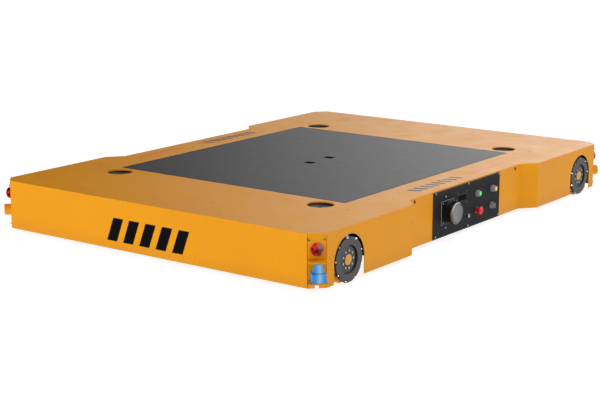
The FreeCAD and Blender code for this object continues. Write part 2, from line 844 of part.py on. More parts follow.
def control_panel(screws):
    heights = ("ground_gap + panel_gap", f"{SKIRT_TOP} - panel_gap")
    back = slab(WAIST_X, PANEL_X, "panel_front", "panel_rear", *heights)
    holes = [panel_hole(y, z, neck + 1.5) for y, z, _, _, neck in BUTTONS.values()]
    holes.append(panel_hole("socket_y", "socket_height", "socket_radius - socket_wall"))
    across = (f"{PANEL_X} - {THROUGH / 2}", f"{PANEL_X} + {THROUGH / 2}")
    board = cut(back, slab(*across, *DISPLAY_Y, *DISPLAY_Z), *holes, *screws)
    front = f"{PANEL_X} - glass_setback"
    glass = slab(f"{front} - glass_thickness", front, *DISPLAY_Y, *DISPLAY_Z)
    return node("control_panel", board, glass)


def panel_screws():
    places = [(y, z) for y in PANEL_SCREWS_Y for z in PANEL_SCREWS_Z]
    base = f"{PANEL_X} + screw_head_height / 2 - screw_length"
    return [screw((base, y, z), ALONG_X) for y, z in (*places, *PANEL_EXTRA_SCREWS)]


def panel_trim():
    """Small screw heads round the display and the connector, and the key lock's barrel."""
    heads = [rod(2.5, 1.5, (PANEL_X, y, z), ALONG_X)
             for y in DISPLAY_SCREWS_Y for z in DISPLAY_SCREWS_Z]
    face = f"{PANEL_X} + socket_flange"
    for sy in SIDES:
        for sz in SIDES:
            y, z = f"socket_y + {sy * FLANGE_SCREW}", f"socket_height + {sz * FLANGE_SCREW}"
            heads.append(rod(4, 2.5, (face, y, z), ALONG_X))
    lock = rod("lock_radius", "lock_reach", (PANEL_X, *KEY_LOCK), ALONG_X)
    return [*heads, lock]


def bezels():
    """Ring-shaped bezels round the push buttons and the selector."""
    rings = []
    for name, (y, z, *_) in BUTTONS.items():
        if name == "estop_button":
            continue
        ring = turning([
            ("button_radius - 1", 0),
            ("bezel_radius", 0),
            ("bezel_radius", "bezel_reach - 3"),
            ("bezel_radius - 1.5", "bezel_reach"),
            ("button_radius - 1", "bezel_reach"),
        ])
        rings.append(place(ring, (PANEL_X, y, z), ALONG_X))
    return rings


def buttons():
    for name, (y, z, head, reach, neck) in BUTTONS.items():
        if name == "estop_button":
            profile = [
                (0, -20), (neck - 2, -20), (neck - 2, 0.5), (neck - 1, 0.5), (neck, reach - 12),
                (head, reach - 9), (head, reach - 6), (head - 6, reach, 6), (0, reach),
            ]
        else:
            profile = [
                (0, -20), (neck, -20), (neck, 4), (head, 5), (head, reach - 2),
                (head - 2, reach), (0, reach),
            ]
        piece = place(turning(profile), (PANEL_X, y, z), ALONG_X)
        if name == "mode_selector":
            face = f"{PANEL_X} + {reach}"
            grip = slab(f"{face} - 1", f"{face} + 6", y - 3, y + 3, z - 11, z + 11)
            piece = fuse(piece, grip)
        node(name, piece)


# the cap's hinge line runs along Y above the connector's mouth
HINGE = (f"{PANEL_X} + socket_reach - 3.5", "socket_height + cap_radius + 5")


def charge_connector():
    """A round power connector on a square flange, with five contacts in its well."""
    half = "socket_side / 2"
    flange = slab(PANEL_X, f"{PANEL_X} + socket_flange", f"socket_y - {half}", f"socket_y + {half}",
                  f"socket_height - {half}", f"socket_height + {half}")
    middle = ("socket_y", "socket_height")
    neck = rod("socket_radius - socket_wall - 1", 32, (f"{PANEL_X} - 30", *middle), ALONG_X)
    shell = rod("socket_radius", "socket_reach", (PANEL_X, *middle), ALONG_X)
    well_floor = f"{PANEL_X} + socket_reach - socket_well"
    well = rod("socket_radius - socket_wall", THROUGH, (well_floor, *middle), ALONG_X)
    pins = []
    for i in range(CONTACTS):
        angle = 90 + 360 / CONTACTS * i
        y = f"socket_y + contact_circle * cos({angle})"
        z = f"socket_height + contact_circle * sin({angle})"
        pins.append(rod("contact_radius", "contact_length", (well_floor, y, z), ALONG_X))
    hinge_x, hinge_z = HINGE
    ears = []
    for edge in SIDES:
        reach = (f"socket_y + {edge} * ear_inner", f"socket_y + {edge} * ear_outer")
        ears.append(slab(f"{hinge_x} - 6", f"{hinge_x} + 3.3", *sorted(reach, key=number),
                         "socket_height + socket_radius - 8", f"{hinge_z} + 5"))
    hinge_pin = rod("hinge_pin", "2 * ear_outer", (hinge_x, "socket_y - ear_outer", hinge_z), ALONG_Y)
    body = cut(fuse(flange, neck, shell, *ears), well, hinge_pin)
    return node("charge_connector", body, hinge_pin, *pins)


def socket_cap():
    """The hinged metal cap over the connector, with its hinge lug above."""
    start = f"{PANEL_X} + socket_reach + cap_gap"
    cap = turning([
        (0, 0),
        ("cap_radius", 0),
        ("cap_radius", "cap_thickness - cap_chamfer"),
        ("cap_radius - cap_chamfer", "cap_thickness"),
        (0, "cap_thickness"),
    ])
    place(cap, (start, "socket_y", "socket_height"), ALONG_X)
    hinge_x, hinge_z = HINGE
    across = ("socket_y - lug_half", "socket_y + lug_half")
    lug = slab(f"{hinge_x} - 5", f"{hinge_x} + 8", *across, f"{hinge_z} - 5", f"{hinge_z} + 5")
    web = slab(start, f"{start} + 4", *across, "socket_height + socket_radius - 8", hinge_z)
    eye_start = (hinge_x, f"socket_y - {THROUGH / 2}", hinge_z)
    eye = rod("hinge_pin + hinge_clearance", THROUGH, eye_start, ALONG_Y)
    return node("socket_cap", cut(fuse(cap, lug, web), eye))


# ---------------------------------------------------------------- power and control

def battery_pack():
    low = "pan_floor + pan_thickness"
    half = "battery_width / 2"
    ends = ("battery_middle - battery_length / 2", "battery_middle + battery_length / 2")
    case = slab(f"-({half})", half, *ends, low, f"{low} + battery_height")
    plug = slab(half, f"{half} + plug_reach", "battery_middle - plug_half", "battery_middle + plug_half",
                f"{low} + plug_low", f"{low} + plug_high")
    return node("battery_pack", case, plug)


def control_cabinet():
    low = "pan_floor + pan_thickness"
    half = "cabinet_width / 2"
    ends = ("cabinet_middle - cabinet_length / 2", "cabinet_middle + cabinet_length / 2")
    top = f"{low} + cabinet_height"
    case = slab(f"-({half})", half, *ends, low, f"{top} - cabinet_lid")
    lid = slab(f"-({half})", half, *ends, f"{top} - cabinet_lid", top)
    return node("control_cabinet", case, lid)


def build():
    from_above = top_screws()
    top_plate(from_above)
    base_frame(from_above)
    node("end_skirts", *(end_skirt(end) for end in SIDES))
    deck_cover("deck_cover_front", -1)
    deck_cover("deck_cover_rear", 1)
    wheels()
    node("drive_units", *(drive_unit(side, end) for side in SIDES for end in SIDES))
    at_corners = corners()
    on_panel = panel_screws()
    node("side_skirts", *(side_skirt(side, on_panel) for side in SIDES))
    control_panel(on_panel)
    node("screws_and_bezels", *from_above, *at_corners, *on_panel, *panel_trim(), *bezels())
    buttons()
    charge_connector()
    socket_cap()
    battery_pack()
    control_cabinet()


def check_document():
    for thing in doc.Objects:
        if {"Invalid", "Error"} & set(thing.State):
            raise RuntimeError(f"{thing.Name} ({thing.Label}) failed: {thing.State}")
    for label, part in nodes.items():
        if part.Shape.isNull() or not part.Shape.isValid() or not part.Shape.Solids:
            raise RuntimeError(f"{label} has no valid solid")


build()
doc.recompute()
check_document()
os.makedirs("parts", exist_ok=True)
for label, part in nodes.items():
    part.Shape.exportStep(f"parts/{label}.step")
print(len(nodes), "sub-parts")
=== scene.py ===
import json
import math

import bmesh
import bpy
from mathutils import Matrix, Vector


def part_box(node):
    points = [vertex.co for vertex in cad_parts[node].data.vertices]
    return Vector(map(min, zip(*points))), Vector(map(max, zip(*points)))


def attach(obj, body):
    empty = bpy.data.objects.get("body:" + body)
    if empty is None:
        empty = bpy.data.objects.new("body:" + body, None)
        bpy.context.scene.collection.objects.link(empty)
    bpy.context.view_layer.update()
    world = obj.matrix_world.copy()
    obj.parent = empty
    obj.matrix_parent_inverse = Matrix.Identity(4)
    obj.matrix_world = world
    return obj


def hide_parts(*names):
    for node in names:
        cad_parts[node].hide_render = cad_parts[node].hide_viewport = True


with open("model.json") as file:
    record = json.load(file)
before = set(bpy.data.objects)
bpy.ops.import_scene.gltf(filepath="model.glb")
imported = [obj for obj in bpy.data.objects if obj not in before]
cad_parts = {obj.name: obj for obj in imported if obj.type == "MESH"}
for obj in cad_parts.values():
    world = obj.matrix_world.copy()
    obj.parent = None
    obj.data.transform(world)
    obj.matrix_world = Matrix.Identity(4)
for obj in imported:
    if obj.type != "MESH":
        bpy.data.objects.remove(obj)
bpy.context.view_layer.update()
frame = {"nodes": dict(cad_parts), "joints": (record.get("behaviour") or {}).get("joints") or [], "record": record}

NODES = frame["nodes"]
JOINTS = {joint["name"]: joint for joint in frame["joints"]}
WHEELS = ("front_left", "front_right", "rear_left", "rear_right")
MM = 0.001
UP = Vector((0, 0, 1))
RIGHT = Vector((1, 0, 0))


# ---------------------------------------------------------------- camera

# a long lens from the front right corner, a little above the deck
CAMERA_AZIMUTH = math.radians(36.64)
CAMERA_DIP = math.radians(12.62)
camera = bpy.data.objects.new("camera", bpy.data.cameras.new("camera"))
camera.data.lens = 86.5
camera.data.sensor_width = 36
camera.data.clip_end = 200
camera.location = (4.076, -5.641, 1.598)
camera.rotation_euler = (math.pi / 2 - CAMERA_DIP, 0, CAMERA_AZIMUTH)
bpy.context.scene.collection.objects.link(camera)
bpy.context.scene.camera = camera


# ---------------------------------------------------------------- materials

class Shader:
    """A Principled material with short calls for its nodes."""

    def __init__(self, name, color, roughness=0.4, metallic=0.0, **sockets):
        self.material = bpy.data.materials.new(name)
        self.material.use_nodes = True
        self.tree = self.material.node_tree
        self.shader = self.tree.nodes["Principled BSDF"]
        self.color = (*color, 1)
        self.shader.inputs["Base Color"].default_value = self.color
        self.shader.inputs["Roughness"].default_value = roughness
        self.shader.inputs["Metallic"].default_value = metallic
        for socket, value in sockets.items():
            self.shader.inputs[socket.replace("_", " ")].default_value = value
        self.place = self.node("ShaderNodeTexCoord").outputs["Object"]
        split = self.node("ShaderNodeSeparateXYZ")
        self.link(self.place, split.inputs["Vector"])
        self.x, self.y, self.z = split.outputs

    def node(self, kind, **settings):
        made = self.tree.nodes.new(kind)
        for name, value in settings.items():
            setattr(made, name, value)
        return made

    def link(self, source, target):
        self.tree.links.new(source, target)

    def math(self, operation, first, second=0.0):
        made = self.node("ShaderNodeMath", operation=operation)
        for entry, value in zip(made.inputs, (first, second)):
            if isinstance(value, (int, float)):
                entry.default_value = value
            else:
                self.link(value, entry)
        return made.outputs["Value"]

    def noise(self, scale, detail=3.0, stretch=(1, 1, 1)):
        mapping = self.node("ShaderNodeMapping")
        mapping.inputs["Scale"].default_value = stretch
        self.link(self.place, mapping.inputs["Vector"])
        made = self.node("ShaderNodeTexNoise")
        made.inputs["Scale"].default_value = scale
        made.inputs["Detail"].default_value = detail
        self.link(mapping.outputs["Vector"], made.inputs["Vector"])
        return made.outputs["Fac"]

    def ramp(self, source, low, high, start=0.0, end=1.0):
        made = self.node("ShaderNodeMapRange")
        made.inputs["From Min"].default_value = low
        made.inputs["From Max"].default_value = high
        made.inputs["To Min"].default_value = start
        made.inputs["To Max"].default_value = end
        self.link(source, made.inputs["Value"])
        return made.outputs["Result"]

    def within(self, source, low, high):
        """1 where the source lies between two values, else 0."""
        above = self.math("GREATER_THAN", source, low)
        below = self.math("LESS_THAN", source, high)
        return self.math("MULTIPLY", above, below)

    def tint(self, mask, other):
        """Blends the base colour towards another by a mask."""
        mix = self.node("ShaderNodeMix", data_type="RGBA")
        entry = self.shader.inputs["Base Color"]
        self.link(mask, mix.inputs["Factor"])
        if entry.links:
            self.link(entry.links[0].from_socket, mix.inputs["A"])
        else:
            mix.inputs["A"].default_value = self.color
        mix.inputs["B"].default_value = (*other, 1)
        self.link(mix.outputs["Result"], entry)

    def roughen(self, source, smooth, rough):
        self.link(self.ramp(source, 0.3, 0.7, smooth, rough), self.shader.inputs["Roughness"])

    def bump(self, source, height, strength=0.4):
        made = self.node("ShaderNodeBump")
        made.inputs["Distance"].default_value = height
        made.inputs["Strength"].default_value = strength
        self.link(source, made.inputs["Height"])
        entry = self.shader.inputs["Normal"]
        if entry.links:
            self.link(entry.links[0].from_socket, made.inputs["Normal"])
        self.link(made.outputs["Normal"], entry)


def powder_coat(name, color=(0.9, 0.357, 0.0045), dull=(0.8, 0.3, 0.008)):
    """Satin powder coat: orange peel, faint cloudiness and a trace of road dust low down."""
    coat = Shader(name, color, 0.32, Specular_IOR_Level=0.3, Specular_Tint=(1, 0.93, 0.52, 1))
    coat.tint(coat.ramp(coat.noise(2.2, 4), 0.42, 0.8, 0.0, 0.45), dull)
    coat.tint(coat.ramp(coat.noise(60, 5), 0.6, 0.85, 0.0, 0.3), dull)
    coat.tint(coat.ramp(coat.z, 0.02, 0.08, 0.2, 0.0), (0.45, 0.2, 0.05))
    coat.roughen(coat.noise(9, 5), 0.27, 0.38)
    coat.bump(coat.noise(420, 2), 0.1 * MM)
    return coat


def textured_paint(name, color, light, roughness=0.5, speck=700, **sockets):
    """Matt paint or cast surface with a fine pebble and lighter specks."""
    coat = Shader(name, color, roughness, **sockets)
    coat.tint(coat.ramp(coat.noise(6, 5), 0.4, 0.8, 0.0, 0.12), light)
    coat.tint(coat.ramp(coat.noise(speck, 2), 0.52, 0.75, 0.0, 0.5), light)
    coat.roughen(coat.noise(18, 4), roughness * 0.97, roughness * 1.03)
    coat.bump(coat.noise(speck, 2), 0.15 * MM)
    return coat.material


def urethane():
    """Cast polyurethane tread: waxy, scuffed in patches."""
    tread = Shader("roller_urethane", (0.8, 0.3, 0.012), 0.42, Subsurface_Weight=0.06,
                   Subsurface_Scale=4 * MM)
    tread.tint(tread.ramp(tread.noise(55, 4), 0.42, 0.75, 0.0, 0.6), (0.5, 0.16, 0.01))
    tread.tint(tread.ramp(tread.noise(210, 3), 0.58, 0.75, 0.0, 0.4), (0.28, 0.11, 0.02))
    tread.roughen(tread.noise(140, 4), 0.34, 0.6)
    tread.bump(tread.noise(700, 3), 0.2 * MM)
    return tread.material


def machined(name, color, dark, roughness=0.28):
    """Bare metal with fine tool marks and slight tarnish."""
    metal = Shader(name, color, roughness, 1.0)
    metal.tint(metal.ramp(metal.noise(24, 4), 0.4, 0.8, 0.0, 0.6), dark)
    metal.roughen(metal.noise(60, 5), roughness * 0.75, roughness * 1.35)
    metal.bump(metal.noise(600, 3), 0.08 * MM)
    return metal.material


def turned_metal(name, axis, color=(0.4, 0.4, 0.405), ring=900):
    """Metal faced on a lathe: fine rings about an axis through a point, along X, with painted shade that darkens
    the face towards +y.
    """
    metal = Shader(name, color, 0.3, 1.0)
    across = metal.math("SUBTRACT", metal.y, axis.y)
    above = metal.math("SUBTRACT", metal.z, axis.z)
    squares = (metal.math("MULTIPLY", across, across), metal.math("MULTIPLY", above, above))
    reach = metal.math("SQRT", metal.math("ADD", *squares))
    waves = metal.math("SINE", metal.math("MULTIPLY", reach, ring * 2 * math.pi))
    metal.bump(waves, 0.05 * MM, 0.5)
    metal.tint(metal.ramp(waves, -1, 1, 0.0, 0.25), (0.25, 0.25, 0.255))
    # painted shade: the cap's face darkens towards +y
    metal.tint(metal.ramp(across, -0.03, 0.04, 0.0, 0.6), (0.17, 0.17, 0.175))
    metal.roughen(metal.noise(50, 5), 0.24, 0.4)
    return metal.material


def moulded(name, color, light, roughness=0.28, **sockets):
    """Moulded plastic with a fine sheen and faint flow marks."""
    plastic = Shader(name, color, roughness, **sockets)
    plastic.tint(plastic.ramp(plastic.noise(38, 3), 0.45, 0.8, 0.0, 0.4), light)
    plastic.roughen(plastic.noise(110, 3), roughness * 0.8, roughness * 1.25)
    plastic.bump(plastic.noise(1500, 2), 0.04 * MM, 0.3)
    return plastic.material


# painted marks on the strips beside the deck, in metres: how far out the red line and the bars lie,
# and for each side the stretch of the line and of the bars along the deck
BAR_PITCH = 0.05
BAR_LEAN = 0.35
BAR_SHARE = 0.55
LINE_EDGES = (0.757, 0.769)
BAR_EDGES = (0.725, 0.785)
STRIP_MARKS = (
    (1, (0.155, 0.485), (-0.62, -0.22)),
    (-1, (-0.475, -0.141), (0.27, 0.68)),
)

# half sizes of the band of painted shade round the deck opening
GAP_SHADE_EDGE = (0.652, 0.717)

# |x + y| on the middle line of a scanner, and how far from it the painted highlight reaches
SCANNER_MIDDLE = 0.347
SCANNER_HIGHLIGHT_REACH = 0.024


def lamp_red():
    """Clear red lens with painted reflections: bright and dark streaks across its dome."""
    lens = Shader("red_lens", (0.5, 0.004, 0.012), 0.1, Coat_Weight=0.6, Coat_Roughness=0.04)
    painted_reflections = lens.noise(52, 1)
    # painted reflections: dark and bright streaks across the lens
    lens.tint(lens.ramp(painted_reflections, 0.52, 0.6, 0.0, 0.9), (0.06, 0.0005, 0.002))
    lens.tint(lens.ramp(painted_reflections, 0.46, 0.38, 0.0, 0.8), (0.85, 0.05, 0.07))
    lens.roughen(lens.noise(110, 3), 0.08, 0.14)
    return lens.material


def scanner_shell():
    """Glossy blue moulding, with a painted highlight down the middle of its outward side."""
    shell = Shader("scanner_blue", (0.035, 0.29, 0.74), 0.2)
    along = shell.math("ABSOLUTE", shell.math("ADD", shell.x, shell.y))
    aside = shell.math("ABSOLUTE", shell.math("SUBTRACT", along, SCANNER_MIDDLE))
    # painted highlight: paler blue down the middle of the scanner's outward side
    shell.tint(shell.ramp(aside, SCANNER_HIGHLIGHT_REACH, 0.0, 0.0, 0.62), (0.42, 0.83, 1.0))
    shell.tint(shell.ramp(shell.noise(38, 3), 0.45, 0.8, 0.0, 0.2), (0.1, 0.42, 0.88))
    shell.roughen(shell.noise(110, 3), 0.16, 0.24)
    return shell.material


def marked_coat():
    """The top plate's coat: painted shade round the opening, a red line and slanted bars on each strip."""
    coat = powder_coat("orange_marked")
    # painted shade: a dark band round the deck opening, along the gap to the covers
    inside = coat.math("MULTIPLY", coat.within(coat.x, -GAP_SHADE_EDGE[0], GAP_SHADE_EDGE[0]),
                       coat.within(coat.y, -GAP_SHADE_EDGE[1], GAP_SHADE_EDGE[1]))
    coat.tint(inside, (0.02, 0.03, 0.06))
    lean = coat.math("MULTIPLY", coat.x, BAR_LEAN)
    slanted = coat.math("SUBTRACT", coat.y, lean)
    cycle = coat.math("FRACT", coat.math("DIVIDE", slanted, BAR_PITCH))
    bars = coat.within(cycle, 0.0, BAR_SHARE)
    for side, (line_start, line_end), (bars_start, bars_end) in STRIP_MARKS:
        reach = coat.math("MULTIPLY", coat.x, side)
        line = coat.math("MULTIPLY", coat.within(reach, *LINE_EDGES),
                         coat.within(coat.y, line_start, line_end))
        coat.tint(line, (0.95, 0.13, 0.08))
        row = coat.math("MULTIPLY", coat.within(reach, *BAR_EDGES),
                        coat.within(slanted, bars_start, bars_end))
        coat.tint(coat.math("MULTIPLY", row, bars), (0.012, 0.018, 0.035))
    return coat.material


cap_low, cap_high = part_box("socket_cap")
cap_axis = Vector((cap_high.x, (cap_low.y + cap_high.y) / 2, cap_low.z + (cap_high.y - cap_low.y) / 2))

ORANGE = powder_coat("orange_coat").material
ORANGE_MARKED = marked_coat()
ORANGE_HUB = powder_coat("orange_hub", (0.92, 0.43, 0.05), (0.7, 0.28, 0.03)).material
DECK = textured_paint("deck_coat", (0.03, 0.03, 0.031), (0.055, 0.055, 0.056), 0.38, 900,
                      Specular_IOR_Level=0.29)
FRAME = textured_paint("frame_primer", (0.012, 0.013, 0.015), (0.03, 0.03, 0.032), 0.55)
PANEL = textured_paint("panel_anodised", (0.024, 0.024, 0.025), (0.034, 0.034, 0.036), 0.45, 1500,
                       Specular_IOR_Level=0.06)
WHEEL = textured_paint("wheel_casting", (0.085, 0.084, 0.084), (0.13, 0.13, 0.13), 0.42,
                       Specular_IOR_Level=0.3)
# the drum and back plate's dark casting, also used as painted shade on the wheels' sunk faces
DRUM_AND_SHADE = textured_paint("drum_and_painted_shade", (0.007, 0.008, 0.011), (0.02, 0.02, 0.024), 0.5, 500,
                      Specular_IOR_Level=0.25)
SEAT = textured_paint("seat_pad", (0.016, 0.02, 0.026), (0.03, 0.036, 0.045), 0.45, 500)
RUBBER = textured_paint("black_rubber", (0.006, 0.009, 0.018), (0.012, 0.016, 0.028), 0.5, 900)
CASTING = textured_paint("motor_casting", (0.05, 0.052, 0.056), (0.1, 0.1, 0.105), 0.5, 400)
CABINET = textured_paint("cabinet_coat", (0.32, 0.33, 0.34), (0.42, 0.43, 0.44), 0.45, 800)
VINYL = textured_paint("black_vinyl", (0.006, 0.006, 0.007), (0.014, 0.014, 0.015), 0.3, 600)
ROLLER = urethane()
# painted shade: near-black fill for the wheel arches and the corner seams
SHADE = textured_paint("painted_shade_fill", (0.004, 0.005, 0.008), (0.01, 0.011, 0.014), 0.6, 500,
                       Specular_IOR_Level=0.1)
CHROME = machined("pin_chrome", (0.86, 0.87, 0.9), (0.6, 0.62, 0.66), 0.16)
ZINC = machined("screw_zinc", (0.5, 0.51, 0.54), (0.34, 0.35, 0.38), 0.3)
BLUED = machined("blued_ring", (0.06, 0.1, 0.24), (0.03, 0.05, 0.12), 0.3)
TURNED = turned_metal("turned_cap", cap_axis)
BATTERY = moulded("battery_case", (0.03, 0.034, 0.045), (0.05, 0.055, 0.07), 0.42)
BLACK = moulded("black_plastic", (0.012, 0.011, 0.011), (0.024, 0.022, 0.022), 0.34,
                Specular_IOR_Level=0.3)
SATIN = moulded("satin_bezel", (0.34, 0.33, 0.335), (0.46, 0.45, 0.455), 0.32)
SCANNER = scanner_shell()
RED_LENS = lamp_red()
RED_KNOB = moulded("red_knob", (0.8, 0.006, 0.01), (0.9, 0.03, 0.03), 0.26)
GREEN = moulded("green_lens", (0.05, 0.8, 0.1), (0.15, 0.95, 0.25), 0.2, Emission_Strength=0.3,
                Emission_Color=(0.08, 1.0, 0.16, 1))
AMBER = moulded("amber_lens", (1.0, 0.5, 0.08), (1.0, 0.66, 0.2), 0.2, Emission_Strength=0.3,
                Emission_Color=(1.0, 0.5, 0.08, 1))
GREY = moulded("selector_grey", (0.27, 0.27, 0.275), (0.36, 0.36, 0.37), 0.36)
GLASS = moulded("display_glass", (0.0008, 0.0008, 0.001), (0.002, 0.002, 0.0025), 0.1,
                Specular_IOR_Level=0.03)


# ---------------------------------------------------------------- mesh tools

def aimed(point, direction):
    """A place at the point whose Z looks along the direction."""
    turn = Vector(direction).to_track_quat("Z", "Y").to_matrix().to_4x4()
    return Matrix.Translation(point) @ turn


def hexagon(angle):
    """How far a hexagon's side stands from its middle, as a share of its corners."""
    return math.cos(math.pi / 6) / math.cos(angle % (math.pi / 3) - math.pi / 6)


class Build:
    """One mesh put together from turned and extruded shapes."""

    def __init__(self):
        self.mesh = bmesh.new()

    def ring(self, radius, height, place, steps, shape):
        if radius == 0:
            return [self.mesh.verts.new(place @ Vector((0, 0, height)))]
        points = []
        for i in range(steps):
            angle = 2 * math.pi * i / steps
            reach = radius * (shape(angle) if shape else 1)
            spot = Vector((reach * math.cos(angle), reach * math.sin(angle), height))
            points.append(self.mesh.verts.new(place @ spot))
        return points

    def lathe(self, profile, place=Matrix(), steps=48, material=0):
        """Turns (radius, height) points about Z. A third item shapes that ring."""
        rings = []
        for radius, height, *shape in profile:
            rings.append(self.ring(radius, height, place, steps, shape[0] if shape else None))
        for low, high in zip(rings, rings[1:]):
            if len(low) == len(high) == 1:
                continue
            for i in range(steps):
                j = (i + 1) % steps
                corners = [low[i % len(low)], low[j % len(low)], high[j % len(high)], high[i % len(high)]]
                unique = list(dict.fromkeys(corners))
                self.mesh.faces.new(unique).material_index = material
        return self

    def loft(self, sections, place=Matrix(), material=0, closed=True):
        """Joins sections of equal count, each a list of points, with caps on both ends."""
        rings = [[self.mesh.verts.new(place @ Vector(p)) for p in s] for s in sections]
        for low, high in zip(rings, rings[1:]):
            for i in range(len(low)):
                j = (i + 1) % len(low)
                self.mesh.faces.new((low[i], low[j], high[j], high[i])).material_index = material
        if closed:
            self.mesh.faces.new(list(reversed(rings[0]))).material_index = material
            self.mesh.faces.new(rings[-1]).material_index = material
        return self

    def prism(self, outline, low, high, place=Matrix(), edge=0.0, material=0):
        """An extruded outline whose top edge is broken by a small chamfer."""
        middle = sum((Vector(p) for p in outline), Vector((0, 0))) / len(outline)
        reach = max((Vector(p) - middle).length for p in outline)
        small = [middle + (Vector(p) - middle) * (1 - edge / reach) for p in outline]
        levels = [(outline, low), (outline, high - edge), (small, high)]
        return self.loft([[(*p, h) for p in line] for line, h in levels], place, material)

    def border(self, half_x, half_y, width, low, high, place=Matrix(), material=0):
        """A rectangular ring: its outer half sizes and the width of its bars."""
        edge = min(width, high - low) * 0.3
        section = [(0, low), (0, high - edge), (edge, high), (width - edge, high),
                   (width, high - edge), (width, low)]
        corners = [(1, 1), (-1, 1), (-1, -1), (1, -1)]
        rings = []
        for sx, sy in corners:
            spots = [(sx * (half_x - inset), sy * (half_y - inset), height) for inset, height in section]
            rings.append([self.mesh.verts.new(place @ Vector(p)) for p in spots])
        for a, b in zip(rings, rings[1:] + rings[:1]):
            for i in range(len(section)):
                j = (i + 1) % len(section)
                self.mesh.faces.new((a[i], b[i], b[j], a[j])).material_index = material
        return self

    def finish(self, name, body, slot, *materials, replaces=(), smooth=40):
        """The built mesh as a piece that rides on a body."""
        bmesh.ops.recalc_face_normals(self.mesh, faces=self.mesh.faces)
        made = bpy.data.meshes.new(name)
        self.mesh.to_mesh(made)
        self.mesh.free()
        for material in materials:
            made.materials.append(material)
        made.shade_smooth()
        made.set_sharp_from_angle(angle=math.radians(smooth))
        piece = bpy.data.objects.new(name, made)
        bpy.context.scene.collection.objects.link(piece)
        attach(piece, body)
        if replaces:
            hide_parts(*replaces)
        return piece


def solids(node):
    """The points of each separate solid of a CAD node."""
    mesh = bmesh.new()
    mesh.from_mesh(NODES[node].data)
    bmesh.ops.remove_doubles(mesh, verts=mesh.verts, dist=MM / 1000)
    found = []
    for seed in mesh.verts:
        if seed.tag:
            continue
        seed.tag = True
        waiting, points = [seed], []
        while waiting:
            vertex = waiting.pop()
            points.append(vertex.co.copy())
            for edge in vertex.link_edges:
                other = edge.other_vert(vertex)
                if not other.tag:
                    other.tag = True
                    waiting.append(other)
        found.append(points)
    mesh.free()
    return found


def turned_box(points, turn):
    """The points in a turned frame, with their lowest and highest corners there."""
    local = [turn.inverted() @ p for p in points]
    low = Vector(min(p[i] for p in local) for i in range(3))
    high = Vector(max(p[i] for p in local) for i in range(3))
    return local, low, high


def measured(points, out):
    """The middle of a round solid's outermost face, its radius and its length along out."""
    turn = Vector(out).to_track_quat("Z", "Y").to_matrix()
    _, low, high = turned_box(points, turn)
    middle = (low + high) / 2
    return turn @ Vector((middle.x, middle.y, high.z)), (high.x - low.x) / 2, high.z - low.z


# ---------------------------------------------------------------- CAD nodes

# the wheel's hub bolts and its dished plate, how far the roller pins end behind the plate's face,
# the casing's cut corners, and where the connector cap's black hinge begins above its middle
ROLLERS = 9
BOLT_CIRCLE = 36.4 * MM
DISH_RADIUS = 60 * MM
DISH_DEPTH = 8 * MM
PIN_SETBACK = 1.5 * MM
CORNER_CUT = 54 * MM
SEAM = 2 * MM
HINGE_RISE = 49.5 * MM


def paint(node, *materials, choose=None):
    """Gives a CAD node its materials; choose(face centre) says which one a face has."""
    mesh = NODES[node].data
    mesh.materials.clear()
    for material in materials:
        mesh.materials.append(material)
    for face in mesh.polygons:
        face.material_index = choose(face.center) if choose else 0


def soften(node, width):
    """Rounds a part's sharp edges, so that they catch the light."""
    bevel = NODES[node].modifiers.new("edges", "BEVEL")
    bevel.width = width
    bevel.segments = 2
    bevel.limit_method = "ANGLE"
    bevel.angle_limit = math.radians(40)


def hub_of(name):
    """The middle of a wheel, on its axle."""
    return Vector(JOINTS[f"wheel_{name}_spin"]["pos_m"])


def plate_face(name):
    """How far a wheel's outer plate stands from the wheel's middle plane, read at the dish's edge."""
    hub = hub_of(name)
    rim = [v.co - hub for v in NODES[f"wheel_{name}"].data.vertices
           if abs((v.co - hub).yz.length - DISH_RADIUS) < 0.5 * MM]
    return max(abs(spot.x) for spot in rim)


# zones of a wheel: depths behind the plate's face and distances from the axle
PLATE_DEPTH = 11 * MM
CAP_REACH = 23.5 * MM
BOLTS_REACH = (30 * MM, 43 * MM)
PINS_REACH = (76 * MM, 88 * MM)
PAINTED_SHADE_REACH = 54.5 * MM
BACK_DEPTH = 80 * MM


def paint_wheel(name):
    """One wheel's outer plate, dark drum and back plate, chrome pins, bolts and orange hub cap; beyond the dish's
    edge, faces set back from the plate's face (the dish's sloped wall, the pin notches and the rim) take the
    drum's dark colour as painted shade.
    """
    hub, face = hub_of(name), plate_face(name)
    side = math.copysign(1, hub.x)

    def choose(spot):
        reach = (spot - hub).yz.length
        inset = face - side * (spot.x - hub.x)
        if inset > PLATE_DEPTH:
            return 3 if PINS_REACH[0] < reach < PINS_REACH[1] and inset < BACK_DEPTH else 1
        if reach < CAP_REACH:
            return 2
        if BOLTS_REACH[0] < reach < BOLTS_REACH[1] and inset < DISH_DEPTH - 0.1 * MM:
            return 3
        # painted shade: sunk faces beyond the dish's edge, such as the dish's sloped wall and the pin notches,
        # take the drum's dark colour
        return 1 if reach > PAINTED_SHADE_REACH and abs(inset) > 0.15 * MM else 0

    paint(f"wheel_{name}", WHEEL, DRUM_AND_SHADE, ORANGE_HUB, CHROME, choose=choose)


